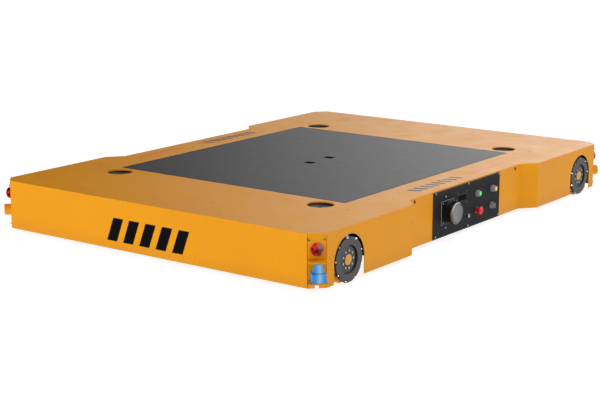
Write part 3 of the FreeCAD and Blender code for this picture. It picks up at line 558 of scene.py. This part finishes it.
FINISHES = {
    "end_skirts": ORANGE, "side_skirts": ORANGE, "corner_panels": ORANGE, "top_plate": ORANGE_MARKED,
    "base_frame": FRAME, "deck_cover_front": DECK, "deck_cover_rear": DECK, "drive_units": CASTING,
    "battery_pack": BATTERY, "control_cabinet": CABINET, "charge_connector": BLACK,
    "control_panel": PANEL, "signal_lamps": RED_LENS, "laser_scanners": SCANNER,
    "screws_and_bezels": ZINC, "start_button": GREEN, "reset_button": AMBER,
    "estop_button": RED_KNOB, "mode_selector": GREY,
}
EDGES = {
    "top_plate": 1.6 * MM, "end_skirts": 0.8 * MM, "side_skirts": 0.8 * MM, "corner_panels": 1.0 * MM,
    "deck_cover_front": 1.2 * MM, "deck_cover_rear": 1.2 * MM, "control_panel": 0.6 * MM,
    "charge_connector": 0.8 * MM, "socket_cap": 0.6 * MM, "battery_pack": 6 * MM,
    "control_cabinet": 1.2 * MM, "drive_units": 2 * MM,
}

for node, material in FINISHES.items():
    paint(node, material)
for node, width in EDGES.items():
    soften(node, width)
for name in WHEELS:
    paint_wheel(name)
paint("socket_cap", TURNED, BLACK, choose=lambda spot: int(spot.z > cap_axis.z + HINGE_RISE))


# ---------------------------------------------------------------- fasteners and bezels

PANEL_LOW, PANEL_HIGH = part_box("control_panel")
DECK_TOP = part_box("top_plate")[1].z
# radii below which a round fitting is a screw, and below which it is the key lock
SCREW_LIMIT = 7 * MM
LOCK_LIMIT = 12 * MM


def outward(spot):
    """The way a fitting at this spot faces: up on the deck, right on the panel, else a corner."""
    if spot.x > PANEL_LOW.x - 30 * MM and PANEL_LOW.y < spot.y < PANEL_HIGH.y:
        return RIGHT
    if spot.z > DECK_TOP - 16 * MM:
        return UP
    return Vector((math.copysign(1, spot.x), math.copysign(1, spot.y), 0)).normalized()


def middle_of(points):
    """The average of some points."""
    return sum(points, Vector()) / len(points)


def screw_head(build, place, radius, height):
    """A pan head with a hexagon socket."""
    socket = 0.42 * radius
    build.lathe([
        (radius, -height), (radius, -0.55 * height), (0.93 * radius, -0.25 * height),
        (0.75 * radius, -0.06 * height), (0.6 * radius, 0), (1.12 * socket, 0, hexagon),
        (socket, -0.08 * height, hexagon), (socket, -0.6 * height, hexagon), (0, -0.62 * height),
    ], place, 24)


def bezel_ring(build, place, radius, height):
    """A push button's metal bezel: knurled skirt, rounded lip and an inner step."""
    def knurl(angle):
        return 1 + 0.012 * math.cos(36 * angle)

    build.lathe([
        (radius, -height), (radius, -0.85 * height), (0.985 * radius, -0.8 * height, knurl),
        (0.985 * radius, -0.35 * height, knurl), (radius, -0.3 * height), (radius, -0.16 * height),
        (0.97 * radius, -0.05 * height), (0.93 * radius, 0), (0.88 * radius, -0.03 * height),
        (0.85 * radius, -0.1 * height), (0.84 * radius, -height),
    ], place, 144)


def key_lock(build, place, radius, height):
    """A round key lock: collar, recessed barrel and keyway."""
    build.lathe([
        (radius, -height), (radius, -0.2 * height), (0.9 * radius, 0), (0.74 * radius, 0),
        (0.68 * radius, -0.1 * height), (0, -0.1 * height),
    ], place, 48)
    slot = [(-0.08 * radius, -0.42 * radius), (0.08 * radius, -0.42 * radius),
            (0.08 * radius, 0.42 * radius), (-0.08 * radius, 0.42 * radius)]
    build.prism(slot, -0.2 * height, -0.07 * height, place, material=1)


def fittings():
    """Every screw, bezel and the key lock, each rebuilt where its CAD solid stands."""
    heads, rings, lock = Build(), Build(), Build()
    for points in solids("screws_and_bezels"):
        out = outward(middle_of(points))
        tip, radius, length = measured(points, out)
        place = aimed(tip, out)
        if radius < SCREW_LIMIT:
            screw_head(heads, place, 0.78 * radius, min(length, 0.5 * radius))
        elif radius < LOCK_LIMIT:
            key_lock(lock, place, radius, length)
        else:
            bezel_ring(rings, place, radius, length)
    heads.finish("screw_heads", "chassis", "fastener_steel", ZINC, replaces=["screws_and_bezels"])
    rings.finish("button_bezels", "chassis", "fastener_steel", SATIN)
    lock.finish("key_lock", "chassis", "fastener_steel", CHROME, BLACK)


# ---------------------------------------------------------------- corner units

def lamp_lens(build, place, radius, height):
    """A lamp: stepped collar and a dome with fine prismatic rings."""
    dome = [(0.6 * radius, -height), (radius, -height), (radius, -0.88 * height),
            (0.97 * radius, -0.85 * height), (0.97 * radius, -0.78 * height)]
    count = 26
    for i in range(count + 1):
        angle = math.pi / 2 * i / count
        ridge = 0.006 * radius * (i % 2) * (i < count - 3)
        dome.append(((0.95 * radius + ridge) * math.cos(angle), -0.76 * height * (1 - math.sin(angle))))
    dome[-1] = (0, 0)
    build.lathe(dome, place, 64)


# how deep a lamp reaches from its tip, and the half width past which a scanner is only its base
LAMP_DEPTH = 20.8 * MM
SCANNER_HEAD = 27 * MM


def lamps():
    """The four signal lamps, each where its CAD solid stands."""
    build = Build()
    for points in solids("signal_lamps"):
        out = outward(middle_of(points))
        tip, radius, _ = measured(points, out)
        lamp_lens(build, aimed(tip, out), radius, LAMP_DEPTH)
    build.finish("lamp_lenses", "chassis", "red_lens", RED_LENS, replaces=["signal_lamps"])


def rounded_square(half, corner, steps=6):
    """A square outline with round corners."""
    points = []
    for quarter, (sx, sy) in enumerate(((1, 1), (-1, 1), (-1, -1), (1, -1))):
        for i in range(steps + 1):
            angle = math.pi / 2 * (quarter + i / steps)
            points.append((sx * (half - corner) + corner * math.cos(angle),
                           sy * (half - corner) + corner * math.sin(angle)))
    return points


def scanner_body(build, place, half, base, top):
    """A laser scanner: rounded base with a joint line and feet, waisted head and cap."""
    levels = [(0.94, 0.0), (1.0, 0.03), (1.0, 0.2), (0.975, 0.215), (0.975, 0.235), (1.0, 0.25),
              (1.0, 0.9), (0.985, 0.96), (0.94, 1.0)]
    sections = []
    for share, level in levels:
        outline = rounded_square(half * share, 7 * MM)
        sections.append([(x, y, level * base) for x, y in outline])
    build.loft(sections, place)
    rise = top - base
    build.lathe([
        (0.93 * half, base - MM), (0.9 * half, base + 0.03 * rise), (0.86 * half, base + 0.07 * rise),
        (0.82 * half, base + 0.2 * rise), (0.745 * half, base + 0.42 * rise),
        (0.66 * half, base + 0.64 * rise), (0.575 * half, base + 0.84 * rise),
        (0.55 * half, base + 0.87 * rise), (0.55 * half, base + 0.89 * rise),
        (0.57 * half, base + 0.9 * rise), (0.56 * half, base + 0.97 * rise),
        (0.5 * half, top), (0, top),
    ], place, 64)
    build.lathe([(0.915 * half, base + 0.012 * rise), (0.915 * half, base + 0.035 * rise),
                 (0.88 * half, base + 0.04 * rise)], place, 64, material=1)


def scanners():
    """The two laser scanners, each turned to face out of its corner."""
    build = Build()
    for points in solids("laser_scanners"):
        out = outward(middle_of(points))
        turn = Matrix.Rotation(math.atan2(out.y, out.x), 3, "Z")
        local, low, high = turned_box(points, turn)
        middle = (low + high) / 2
        foot = Matrix.Translation(turn @ Vector((middle.x, middle.y, low.z))) @ turn.to_4x4()
        base = max(p.z for p in local if abs(p.y - middle.y) > SCANNER_HEAD) - low.z
        scanner_body(build, foot, (high.y - low.y) / 2, base, high.z - low.z)
    build.finish("scanners", "chassis", "scanner_blue", SCANNER, GLASS, replaces=["laser_scanners"])


# ---------------------------------------------------------------- wheels

def roller_mesh(radius, circle, half):
    """A crowned tread between steel end faces, its outline the wheel's own round at 45 degrees."""
    build = Build()
    tread = []
    count = 24
    for i in range(count + 1):
        along = half * (2 * i / count - 1)
        crown = math.sqrt(radius ** 2 - along ** 2 / 2) - circle
        groove = 0.35 * MM if i % 3 == 0 and 0 < i < count else 0
        tread.append((crown - groove, along))
    shoulder = tread[0][0]
    ends = [(shoulder - 3 * MM, -half), (shoulder - MM, -half + 0.3 * MM)]
    outline = ends + tread[1:-1] + [(r, -h) for r, h in reversed(ends)]
    build.lathe(outline, steps=40)
    for sign in (-1, 1):
        build.lathe([(shoulder - 3 * MM, sign * half), (shoulder - 3.4 * MM, sign * (half - MM)),
                     (8.6 * MM, sign * (half - MM)), (8.4 * MM, sign * half),
                     (5.5 * MM, sign * half), (5.5 * MM, sign * (half - 6 * MM))], steps=40, material=1)
    return build


def rollers(name):
    """The nine rollers of a wheel, each turned about its own pin."""
    hub = hub_of(name)
    for index in range(1, ROLLERS + 1):
        node = f"roller_{name}_{index}"
        joint = JOINTS[f"{node}_spin"]
        middle, axis = Vector(joint["pos_m"]), Vector(joint["axis"])
        span = [p @ axis for p in (v.co for v in NODES[node].data.vertices)]
        build = roller_mesh(hub.z, (middle - hub).length, (max(span) - min(span)) / 2)
        bmesh.ops.transform(build.mesh, matrix=aimed(middle, axis), verts=build.mesh.verts)
        build.finish(f"tread_{name}_{index}", node, "roller_urethane", ROLLER, ZINC, replaces=[node])


def wheel_trim(name):
    """Socket heads on the hub bolts, a blued ring, the cap's small bolts and the pins' bright ends."""
    node = f"wheel_{name}"
    hub, face = hub_of(name), plate_face(name)
    side = math.copysign(1, hub.x)
    out = RIGHT * side
    dish = hub + out * (face - DISH_DEPTH)
    build = Build()
    for i in range(ROLLERS):
        angle = 2 * math.pi * i / ROLLERS
        spot = dish + Vector((0, side * math.cos(angle), math.sin(angle))) * BOLT_CIRCLE
        screw_head(build, aimed(spot + out * 4.2 * MM, out), 5 * MM, 4.2 * MM)
    build.lathe([(23.1 * MM, 0), (23.1 * MM, 1.6 * MM), (23.8 * MM, 2.2 * MM), (26.4 * MM, 2.2 * MM),
                 (27 * MM, 1.6 * MM), (27 * MM, 0)], aimed(dish, out), 64, material=1)
    cap_face = aimed(dish + out * 5 * MM, out)
    for i in range(3):
        angle = 2 * math.pi * i / 3 + 0.5
        spot = Vector((12 * MM * math.cos(angle), 12 * MM * math.sin(angle), MM))
        screw_head(build, cap_face @ Matrix.Translation(spot), 2.6 * MM, 1.4 * MM)
    build.lathe([(5 * MM, -0.2 * MM), (5 * MM, 0.8 * MM), (4 * MM, 1.2 * MM), (2 * MM, 0.5 * MM),
                 (0, 0.5 * MM)], cap_face, 32, material=2)
    for i in range(1, ROLLERS + 1):
        joint = JOINTS[f"roller_{name}_{i}_spin"]
        lean = Vector(joint["axis"])
        lean *= math.copysign(1, lean.x * side)
        tip = Vector(joint["pos_m"]) + lean * (face - PIN_SETBACK) * math.sqrt(2)
        build.lathe([(4.4 * MM, -0.2 * MM), (4.4 * MM, 0.1 * MM), (3.8 * MM, 0.35 * MM),
                     (1.2 * MM, 0.35 * MM), (0, -0.6 * MM)], aimed(tip, lean), 32, material=3)
    build.finish(f"hub_trim_{name}", node, "fastener_steel", ZINC, BLUED, ORANGE_HUB, CHROME)


def painted_shade_fill(name):
    """A dark sheet of painted shade that closes a wheel arch from inside."""
    hub = hub_of(name)
    side = math.copysign(1, hub.x)
    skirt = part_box("side_skirts")[1].x - 3.4 * MM
    reach, thick, depth, steps = 107.4 * MM, 1.4 * MM, 92 * MM, 40
    sections = []
    for i in range(steps + 1):
        angle = math.pi * (1.04 * i / steps - 0.02)
        across, above = math.cos(angle), math.sin(angle)
        corners = [(skirt - depth, reach), (skirt, reach),
                   (skirt, reach + thick), (skirt - depth, reach + thick)]
        sections.append([(side * x, hub.y + r * across, hub.z + r * above) for x, r in corners])
    # painted shade: a near-black sheet inside the wheel arch
    Build().loft(sections).finish(f"painted_shade_fill_{name}", "chassis", "frame_paint", SHADE)


def seam_shade_strips():
    """A dark strip of painted shade behind each seam between a corner face and its skirts."""
    low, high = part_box("end_skirts")
    cut = high.y - CORNER_CUT
    build = Build()
    for sx in (-1, 1):
        for sy in (-1, 1):
            edges = (
                (Vector((high.x + SEAM, high.y)), Vector((-0.383, -0.924))),
                (Vector((high.x + SEAM + CORNER_CUT, cut)), Vector((-0.924, -0.383))),
            )
            for edge, inward in edges:
                spot = edge + inward * 9 * MM
                place = Matrix.Translation((sx * spot.x, sy * spot.y, low.z + MM))
                rise = high.z - low.z - 2 * MM
                build.lathe([(0, 0), (5.4 * MM, 0), (5.4 * MM, rise), (0, rise)], place, 20)
    # painted shade: dark strips seen through the seams at the corners
    build.finish("seam_shade_strips", "chassis", "panel_black", SHADE)


# ---------------------------------------------------------------- deck

def deck_seal():
    """A rubber seal that lies in the gap round the deck covers."""
    front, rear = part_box("deck_cover_front"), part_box("deck_cover_rear")
    half_x, half_y = rear[1].x + 2.7 * MM, rear[1].y + 2.7 * MM
    build = Build()
    build.border(half_x, half_y, 2.2 * MM, front[0].z, DECK_TOP - 1.6 * MM)
    build.finish("deck_seal", "chassis", "frame_paint", RUBBER)


# the part of a deck cover in which only the finger slot has corners
SLOT_START = 10 * MM
SLOT_REACH = (100 * MM, 200 * MM)


def finger_cup(label, side):
    """A moulded cup under a cover's finger slot, with a rolled lip below the sheet."""
    node = f"deck_cover_{label}"
    low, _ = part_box(node)
    inner = [v.co for v in NODES[node].data.vertices
             if abs(v.co.x) < SLOT_REACH[0] and SLOT_START < abs(v.co.y) < SLOT_REACH[1]]
    half_x = max(p.x for p in inner)
    near, far = min(abs(p.y) for p in inner), max(abs(p.y) for p in inner)
    half_y = (far - near) / 2
    place = Matrix.Translation((0, side * (near + far) / 2, low.z))
    wall, depth = 2 * MM, 22 * MM
    build = Build()
    outer, cavity = (half_x + wall, half_y + wall), (half_x + 0.2 * MM, half_y + 0.2 * MM)
    levels = [(outer, 0), (outer, -depth), (cavity, -depth + wall), (cavity, -0.1 * MM)]
    sections = []
    for (hx, hy), height in levels:
        sections.append([(hx, hy, height), (-hx, hy, height), (-hx, -hy, height), (hx, -hy, height)])
    build.loft(sections[:2], place, closed=False)
    build.loft(sections[2:], place, closed=False)
    build.loft([sections[0], sections[3]], place, closed=False)
    for section, turn in ((sections[1], -1), (sections[2], 1)):
        build.mesh.faces.new([build.mesh.verts.new(place @ Vector(p)) for p in section[::turn]])
    bmesh.ops.remove_doubles(build.mesh, verts=build.mesh.verts, dist=MM / 100)
    build.finish(f"finger_cup_{label}", node, "panel_black", BLACK)


def seat_pads():
    """A grooved wear pad in each load seat."""
    build = Build()
    for mount in frame["record"]["mounts"]:
        if not mount["name"].startswith("load_seat"):
            continue
        middle = Vector(mount["pos_m"])
        profile = [(0, 0), (14 * MM, 0), (15 * MM, -0.8 * MM), (17 * MM, -0.8 * MM), (18 * MM, 0)]
        for ring in (28, 38):
            profile += [(ring * MM, 0), ((ring + 1) * MM, -0.8 * MM),
                        ((ring + 3) * MM, -0.8 * MM), ((ring + 4) * MM, 0)]
        profile += [(50 * MM, 0), (52 * MM, -MM), (52 * MM, -4 * MM)]
        build.lathe(profile, Matrix.Translation((middle.x, middle.y, DECK_TOP - 11 * MM)), 64)
    build.finish("seat_pads", "chassis", "deck_paint", SEAT)


def front_bars():
    """Plain slanted bars of black vinyl across the middle of the front skirt."""
    low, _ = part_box("end_skirts")
    width, gap, lean = 58 * MM, 36 * MM, 40 * MM
    bottom, top, count = 56 * MM, 160 * MM, 5
    start = -(count * width + (count - 1) * gap + lean) / 2
    build = Build()
    place = Matrix.Translation((0, low.y, 0)) @ Matrix.Rotation(math.pi / 2, 4, "X")
    for i in range(count):
        x = start + i * (width + gap)
        outline = [(x, bottom), (x + width, bottom), (x + width + lean, top), (x + lean, top)]
        build.prism(outline, -0.1 * MM, 0.3 * MM, place, 0.1 * MM)
    build.finish("front_bars", "chassis", "orange_paint", VINYL)


# ---------------------------------------------------------------- control panel

# how far a button's stem reaches behind the panel, where its body starts before it,
# and the display's window
STEM = 18 * MM
BODY = 5 * MM
WINDOW_Y = (-86 * MM, -17 * MM)
WINDOW_Z = (159 * MM, 186 * MM)
FRAME_BAR = 3 * MM


def on_panel(y, z):
    """A place on the panel's face whose Z looks out to the right."""
    return aimed(Vector((PANEL_HIGH.x, y, z)), RIGHT)


def outer_tip(node):
    """The middle of a button's outer face, and its radius."""
    low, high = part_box(node)
    return Vector((high.x, (low.y + high.y) / 2, (low.z + high.z) / 2)), (high.z - low.z) / 2


def push_button(name, lens, slot):
    """A lit push button: a grey body with a lens of fine rings let into its face."""
    node = f"{name}_button"
    tip, radius = outer_tip(node)
    depth = tip.x - PANEL_HIGH.x
    place = aimed(tip, RIGHT)
    build = Build()
    build.lathe([(0.8 * radius, -depth - STEM), (0.8 * radius, -depth + BODY - MM),
                 (radius, -depth + BODY), (radius, -1.2 * MM), (0.96 * radius, -0.4 * MM),
                 (0.87 * radius, -0.4 * MM), (0.85 * radius, -1.1 * MM)], place, 48, material=1)
    rings = [(0.85 * radius, -1.1 * MM), (0.83 * radius, -0.9 * MM)]
    count = 8
    for i in range(count, 0, -1):
        share = 0.8 * i / count
        crown = -0.9 * share ** 2 * MM
        rings += [(share * radius, crown), ((share - 0.03) * radius, crown - 0.15 * MM)]
    rings.append((0, 0))
    build.lathe(rings, place, 48)
    build.finish(f"{name}_lens", node, slot, lens, SATIN, replaces=[node])


def stop_button():
    """The mushroom of the emergency stop, with a scalloped grip."""
    tip, radius = outer_tip("estop_button")
    depth = tip.x - PANEL_HIGH.x

    def grip(angle):
        return 1 - 0.012 * (1 + math.cos(12 * angle))

    build = Build()
    build.lathe([
        (0.58 * radius, -depth - STEM), (0.58 * radius, -depth + MM), (0.68 * radius, -depth + 1.4 * MM),
        (0.68 * radius, -depth + BODY), (0.6 * radius, -depth + 7 * MM), (0.62 * radius, -15 * MM),
        (0.78 * radius, -11.5 * MM), (0.97 * radius, -9.6 * MM), (radius, -8.6 * MM, grip),
        (radius, -6.2 * MM, grip), (0.97 * radius, -4.4 * MM), (0.88 * radius, -2.6 * MM),
        (0.7 * radius, -1.2 * MM), (0.45 * radius, -0.4 * MM), (0.2 * radius, -0.05 * MM), (0, 0),
    ], aimed(tip, RIGHT), 96)
    build.finish("stop_mushroom", "estop_button", "estop_red", RED_KNOB, replaces=["estop_button"])


def selector():
    """The rotary selector: ribbed skirt, waisted grip and a pale index line."""
    tip, radius = outer_tip("mode_selector")
    depth = tip.x - PANEL_HIGH.x

    def ribs(angle):
        return 1 + 0.015 * math.cos(30 * angle)

    build = Build()
    build.lathe([
        (0.8 * radius, -depth - STEM), (0.8 * radius, -depth + BODY - MM), (radius, -depth + BODY),
        (0.985 * radius, -12 * MM, ribs), (0.985 * radius, -8 * MM, ribs),
        (0.94 * radius, -6.6 * MM), (0, -6.6 * MM),
    ], aimed(tip, RIGHT), 120)
    half = 0.25 * radius
    outline = [(-0.5, -0.92), (0.5, -0.92), (1, -0.8), (1, 0.8),
               (0.5, 0.92), (-0.5, 0.92), (-1, 0.8), (-1, -0.8)]
    sections = []
    for share, height in ((1.25, -6.8), (1.0, -5), (1.0, -1), (0.8, 0)):
        length = radius * min(1, share)
        sections.append([(x * half * share, y * length, height * MM) for x, y in outline])
    build.loft(sections, aimed(tip, RIGHT))
    build.border(0.07 * radius, 0.62 * radius, 0.04 * radius, -0.2 * MM, 0, aimed(tip, RIGHT), material=1)
    build.finish("selector_knob", "mode_selector", "selector_grey", GREY, ZINC, replaces=["mode_selector"])


def panel_trim():
    """A rubber edge round the panel and the stop button's neck, and the display's frame and glass."""
    build = Build()
    middle = (PANEL_LOW + PANEL_HIGH) / 2
    half = (PANEL_HIGH - PANEL_LOW) / 2
    build.border(half.y, half.z, 4 * MM, -MM, 0.5 * MM, on_panel(middle.y, middle.z))
    tip, radius = outer_tip("estop_button")
    neck = 0.7 * radius
    build.lathe([(neck, -2 * MM), (neck, 0.6 * MM), (neck + 0.8 * MM, 1.4 * MM), (neck + 3 * MM, 1.4 * MM),
                 (neck + 4 * MM, 0.6 * MM), (neck + 4 * MM, -MM)], on_panel(tip.y, tip.z), 64)
    build.finish("panel_edge", "chassis", "panel_black", RUBBER)
    place = on_panel(sum(WINDOW_Y) / 2, sum(WINDOW_Z) / 2)
    half_y, half_z = (WINDOW_Y[1] - WINDOW_Y[0]) / 2, (WINDOW_Z[1] - WINDOW_Z[0]) / 2
    display = Build()
    display.border(half_y + FRAME_BAR, half_z + FRAME_BAR, FRAME_BAR, -2 * MM, MM, place)
    corners = [(-half_y, -half_z), (half_y, -half_z), (half_y, half_z), (-half_y, half_z)]
    display.prism(corners, -MM, -0.5 * MM, place, 0.1 * MM, material=1)
    display.finish("display_frame", "chassis", "panel_black", BLACK, GLASS)


def connector_trim():
    """A pale ring round the connector's flange as a painted highlight along its edge, two rings on its shell, and
    the cap's knurl.
    """
    low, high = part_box("charge_connector")
    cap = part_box("socket_cap")
    radius = (cap[1].y - cap[0].y) / 2
    y, z = (cap[0].y + cap[1].y) / 2, cap[0].z + radius
    half = (high.y - low.y) / 2
    # painted highlight: a pale ring standing out round the flange's edge
    flange_highlight = Build()
    flange_highlight.border(half + 1.6 * MM, half + 1.6 * MM, 1.5 * MM, 0, 3 * MM, on_panel(y, z))
    flange_highlight.finish("connector_flange_highlight", "chassis", "fastener_steel", SATIN)
    shell = Build()
    for start in (12 * MM, 33 * MM):
        shell.lathe([(radius - 3.2 * MM, start - 1.5 * MM), (radius - 2 * MM, start),
                     (radius - 2 * MM, start + 3 * MM), (radius - 3.2 * MM, start + 4.5 * MM)],
                    on_panel(y, z), 72)
    shell.finish("connector_rings", "chassis", "panel_black", BLACK)

    def knurl(angle):
        return 1 + 0.006 * math.cos(72 * angle)

    face = cap[1].x
    place = aimed(Vector((face, y, z)), RIGHT)
    band = Build()
    band.lathe([(radius - 0.1 * MM, -8.4 * MM), (radius, -8 * MM, knurl), (radius, -4 * MM, knurl),
                (radius - 0.1 * MM, -3.6 * MM)], place, 288)
    band.lathe([(radius - 3.2 * MM, -0.3 * MM), (radius - 3.6 * MM, 0.0), (radius - 6 * MM, 0.0),
                (radius - 6.6 * MM, -0.5 * MM)], place, 96)
    band.finish("cap_knurl", "socket_cap", "cap_metal", SATIN)


# ---------------------------------------------------------------- side holes

def hole_grommets():
    """A dark rolled rim round each mounting hole of the waist."""
    build = Build()
    for mount in frame["record"]["mounts"]:
        if not mount["name"].startswith("side_holes"):
            continue
        out = Vector(mount["axis"])
        radius = mount["dims"]["hole_r_mm"] * MM
        for sign in (-1, 1):
            spot = Vector(mount["pos_m"])
            spot.y += sign * mount["dims"]["spacing_x_mm"] * MM / 2
            build.lathe([(radius, -2.5 * MM), (radius, 0.4 * MM), (radius + 0.8 * MM, 0.9 * MM),
                         (radius + 2.2 * MM, 0.7 * MM), (radius + 2.8 * MM, 0)], aimed(spot, out), 40)
    build.finish("hole_grommets", "chassis", "panel_black", RUBBER)


# ---------------------------------------------------------------- assembly

fittings()
lamps()
scanners()
for name in WHEELS:
    wheel_trim(name)
    rollers(name)
    painted_shade_fill(name)
seam_shade_strips()
deck_seal()
finger_cup("front", -1)
finger_cup("rear", 1)
seat_pads()
front_bars()
push_button("start", GREEN, "green_lens")
push_button("reset", AMBER, "amber_lens")
stop_button()
selector()
panel_trim()
connector_trim()
hole_grommets()


# ---------------------------------------------------------------- stage

# in metres: how far the floor and walls stand, and between which distances their glow rises
REACH = 60
NEAR, FAR = 2.5, 8
STAGE_GREY = 0.5


def stage_piece(name, corners, glow, far_glow):
    """A flat pale surface that glows a little, more so far away, as a lit sweep does."""
    mesh = bpy.data.meshes.new(name)
    mesh.from_pydata(corners, [], [tuple(range(len(corners)))])
    plane = bpy.data.objects.new(name, mesh)
    bpy.context.scene.collection.objects.link(plane)
    surface = Shader(f"{name}_white", (STAGE_GREY,) * 3, 0.8, Specular_IOR_Level=0,
                     Emission_Color=(1, 1, 1, 1))
    squares = [surface.math("MULTIPLY", axis, axis) for axis in (surface.x, surface.y)]
    away = surface.math("SQRT", surface.math("ADD", *squares))
    surface.link(surface.ramp(away, NEAR, FAR, glow, far_glow), surface.shader.inputs["Emission Strength"])
    surface.material.cycles.emission_sampling = "NONE"
    mesh.materials.append(surface.material)
    plane.visible_glossy = False
    return plane


def sweep(glow, far_glow):
    """The pale floor, and four far walls that only the camera sees."""
    rim = [(-REACH, -REACH), (REACH, -REACH), (REACH, REACH), (-REACH, REACH)]
    stage_piece("floor", [(*spot, 0) for spot in rim], glow, far_glow)
    for i, (start, end) in enumerate(zip(rim, rim[1:] + rim[:1])):
        corners = [(*start, 0), (*end, 0), (*end, REACH), (*start, REACH)]
        wall = stage_piece(f"wall_{i + 1}", corners, far_glow, far_glow)
        wall.visible_diffuse = False


def softbox(name, place, size, power):
    """A large soft light aimed at the platform. Reflections come from the studio walls instead."""
    light = bpy.data.objects.new(name, bpy.data.lights.new(name, "AREA"))
    light.data.shape = "RECTANGLE"
    light.data.size, light.data.size_y = size
    light.data.energy = power
    light.location = place
    light.rotation_euler = (Vector((0, 0, 0.1)) - light.location).to_track_quat("-Z", "Y").to_euler()
    light.visible_glossy = False
    light.visible_camera = False
    bpy.context.scene.collection.objects.link(light)


def studio(wall_middle, dim, bright, floor_share):
    """What the paint mirrors: a dim room whose rear right half is a broad bright wall."""
    world = bpy.data.worlds.new("studio")
    bpy.context.scene.world = world
    world.cycles_visibility.diffuse = False
    world.use_nodes = True
    tree = world.node_tree
    background = tree.nodes["Background"]
    background.inputs["Color"].default_value = (1, 1, 1, 1)
    way = tree.nodes.new("ShaderNodeTexCoord").outputs["Generated"]

    def spread(source, start, end, low, high):
        made = tree.nodes.new("ShaderNodeMapRange")
        made.interpolation_type = "SMOOTHSTEP"
        for socket, value in {"From Min": start, "From Max": end, "To Min": low, "To Max": high}.items():
            made.inputs[socket].default_value = value
        tree.links.new(source, made.inputs["Value"])
        return made.outputs["Result"]

    toward = tree.nodes.new("ShaderNodeVectorMath")
    toward.operation = "DOT_PRODUCT"
    toward.inputs[1].default_value = (math.sin(wall_middle), math.cos(wall_middle), 0)
    tree.links.new(way, toward.inputs[0])
    split = tree.nodes.new("ShaderNodeSeparateXYZ")
    tree.links.new(way, split.inputs["Vector"])
    product = tree.nodes.new("ShaderNodeMath")
    product.operation = "MULTIPLY"
    tree.links.new(spread(toward.outputs["Value"], -0.05, 0.45, dim, bright), product.inputs[0])
    tree.links.new(spread(split.outputs["Z"], -0.15, 0.15, floor_share, 1), product.inputs[1])
    tree.links.new(product.outputs["Value"], background.inputs["Strength"])


sweep(0.86, 1.02)
studio(math.radians(45), 0.04, 2.0, 0.3)
softbox("key", (-1.5, -8, 2.2), (6, 3), 275)
softbox("fill", (8, 0.5, 1.8), (6, 3), 92)
softbox("top", (1, 0.6, 6), (6, 6), 250)
bpy.context.scene.view_settings.view_transform = "Standard"
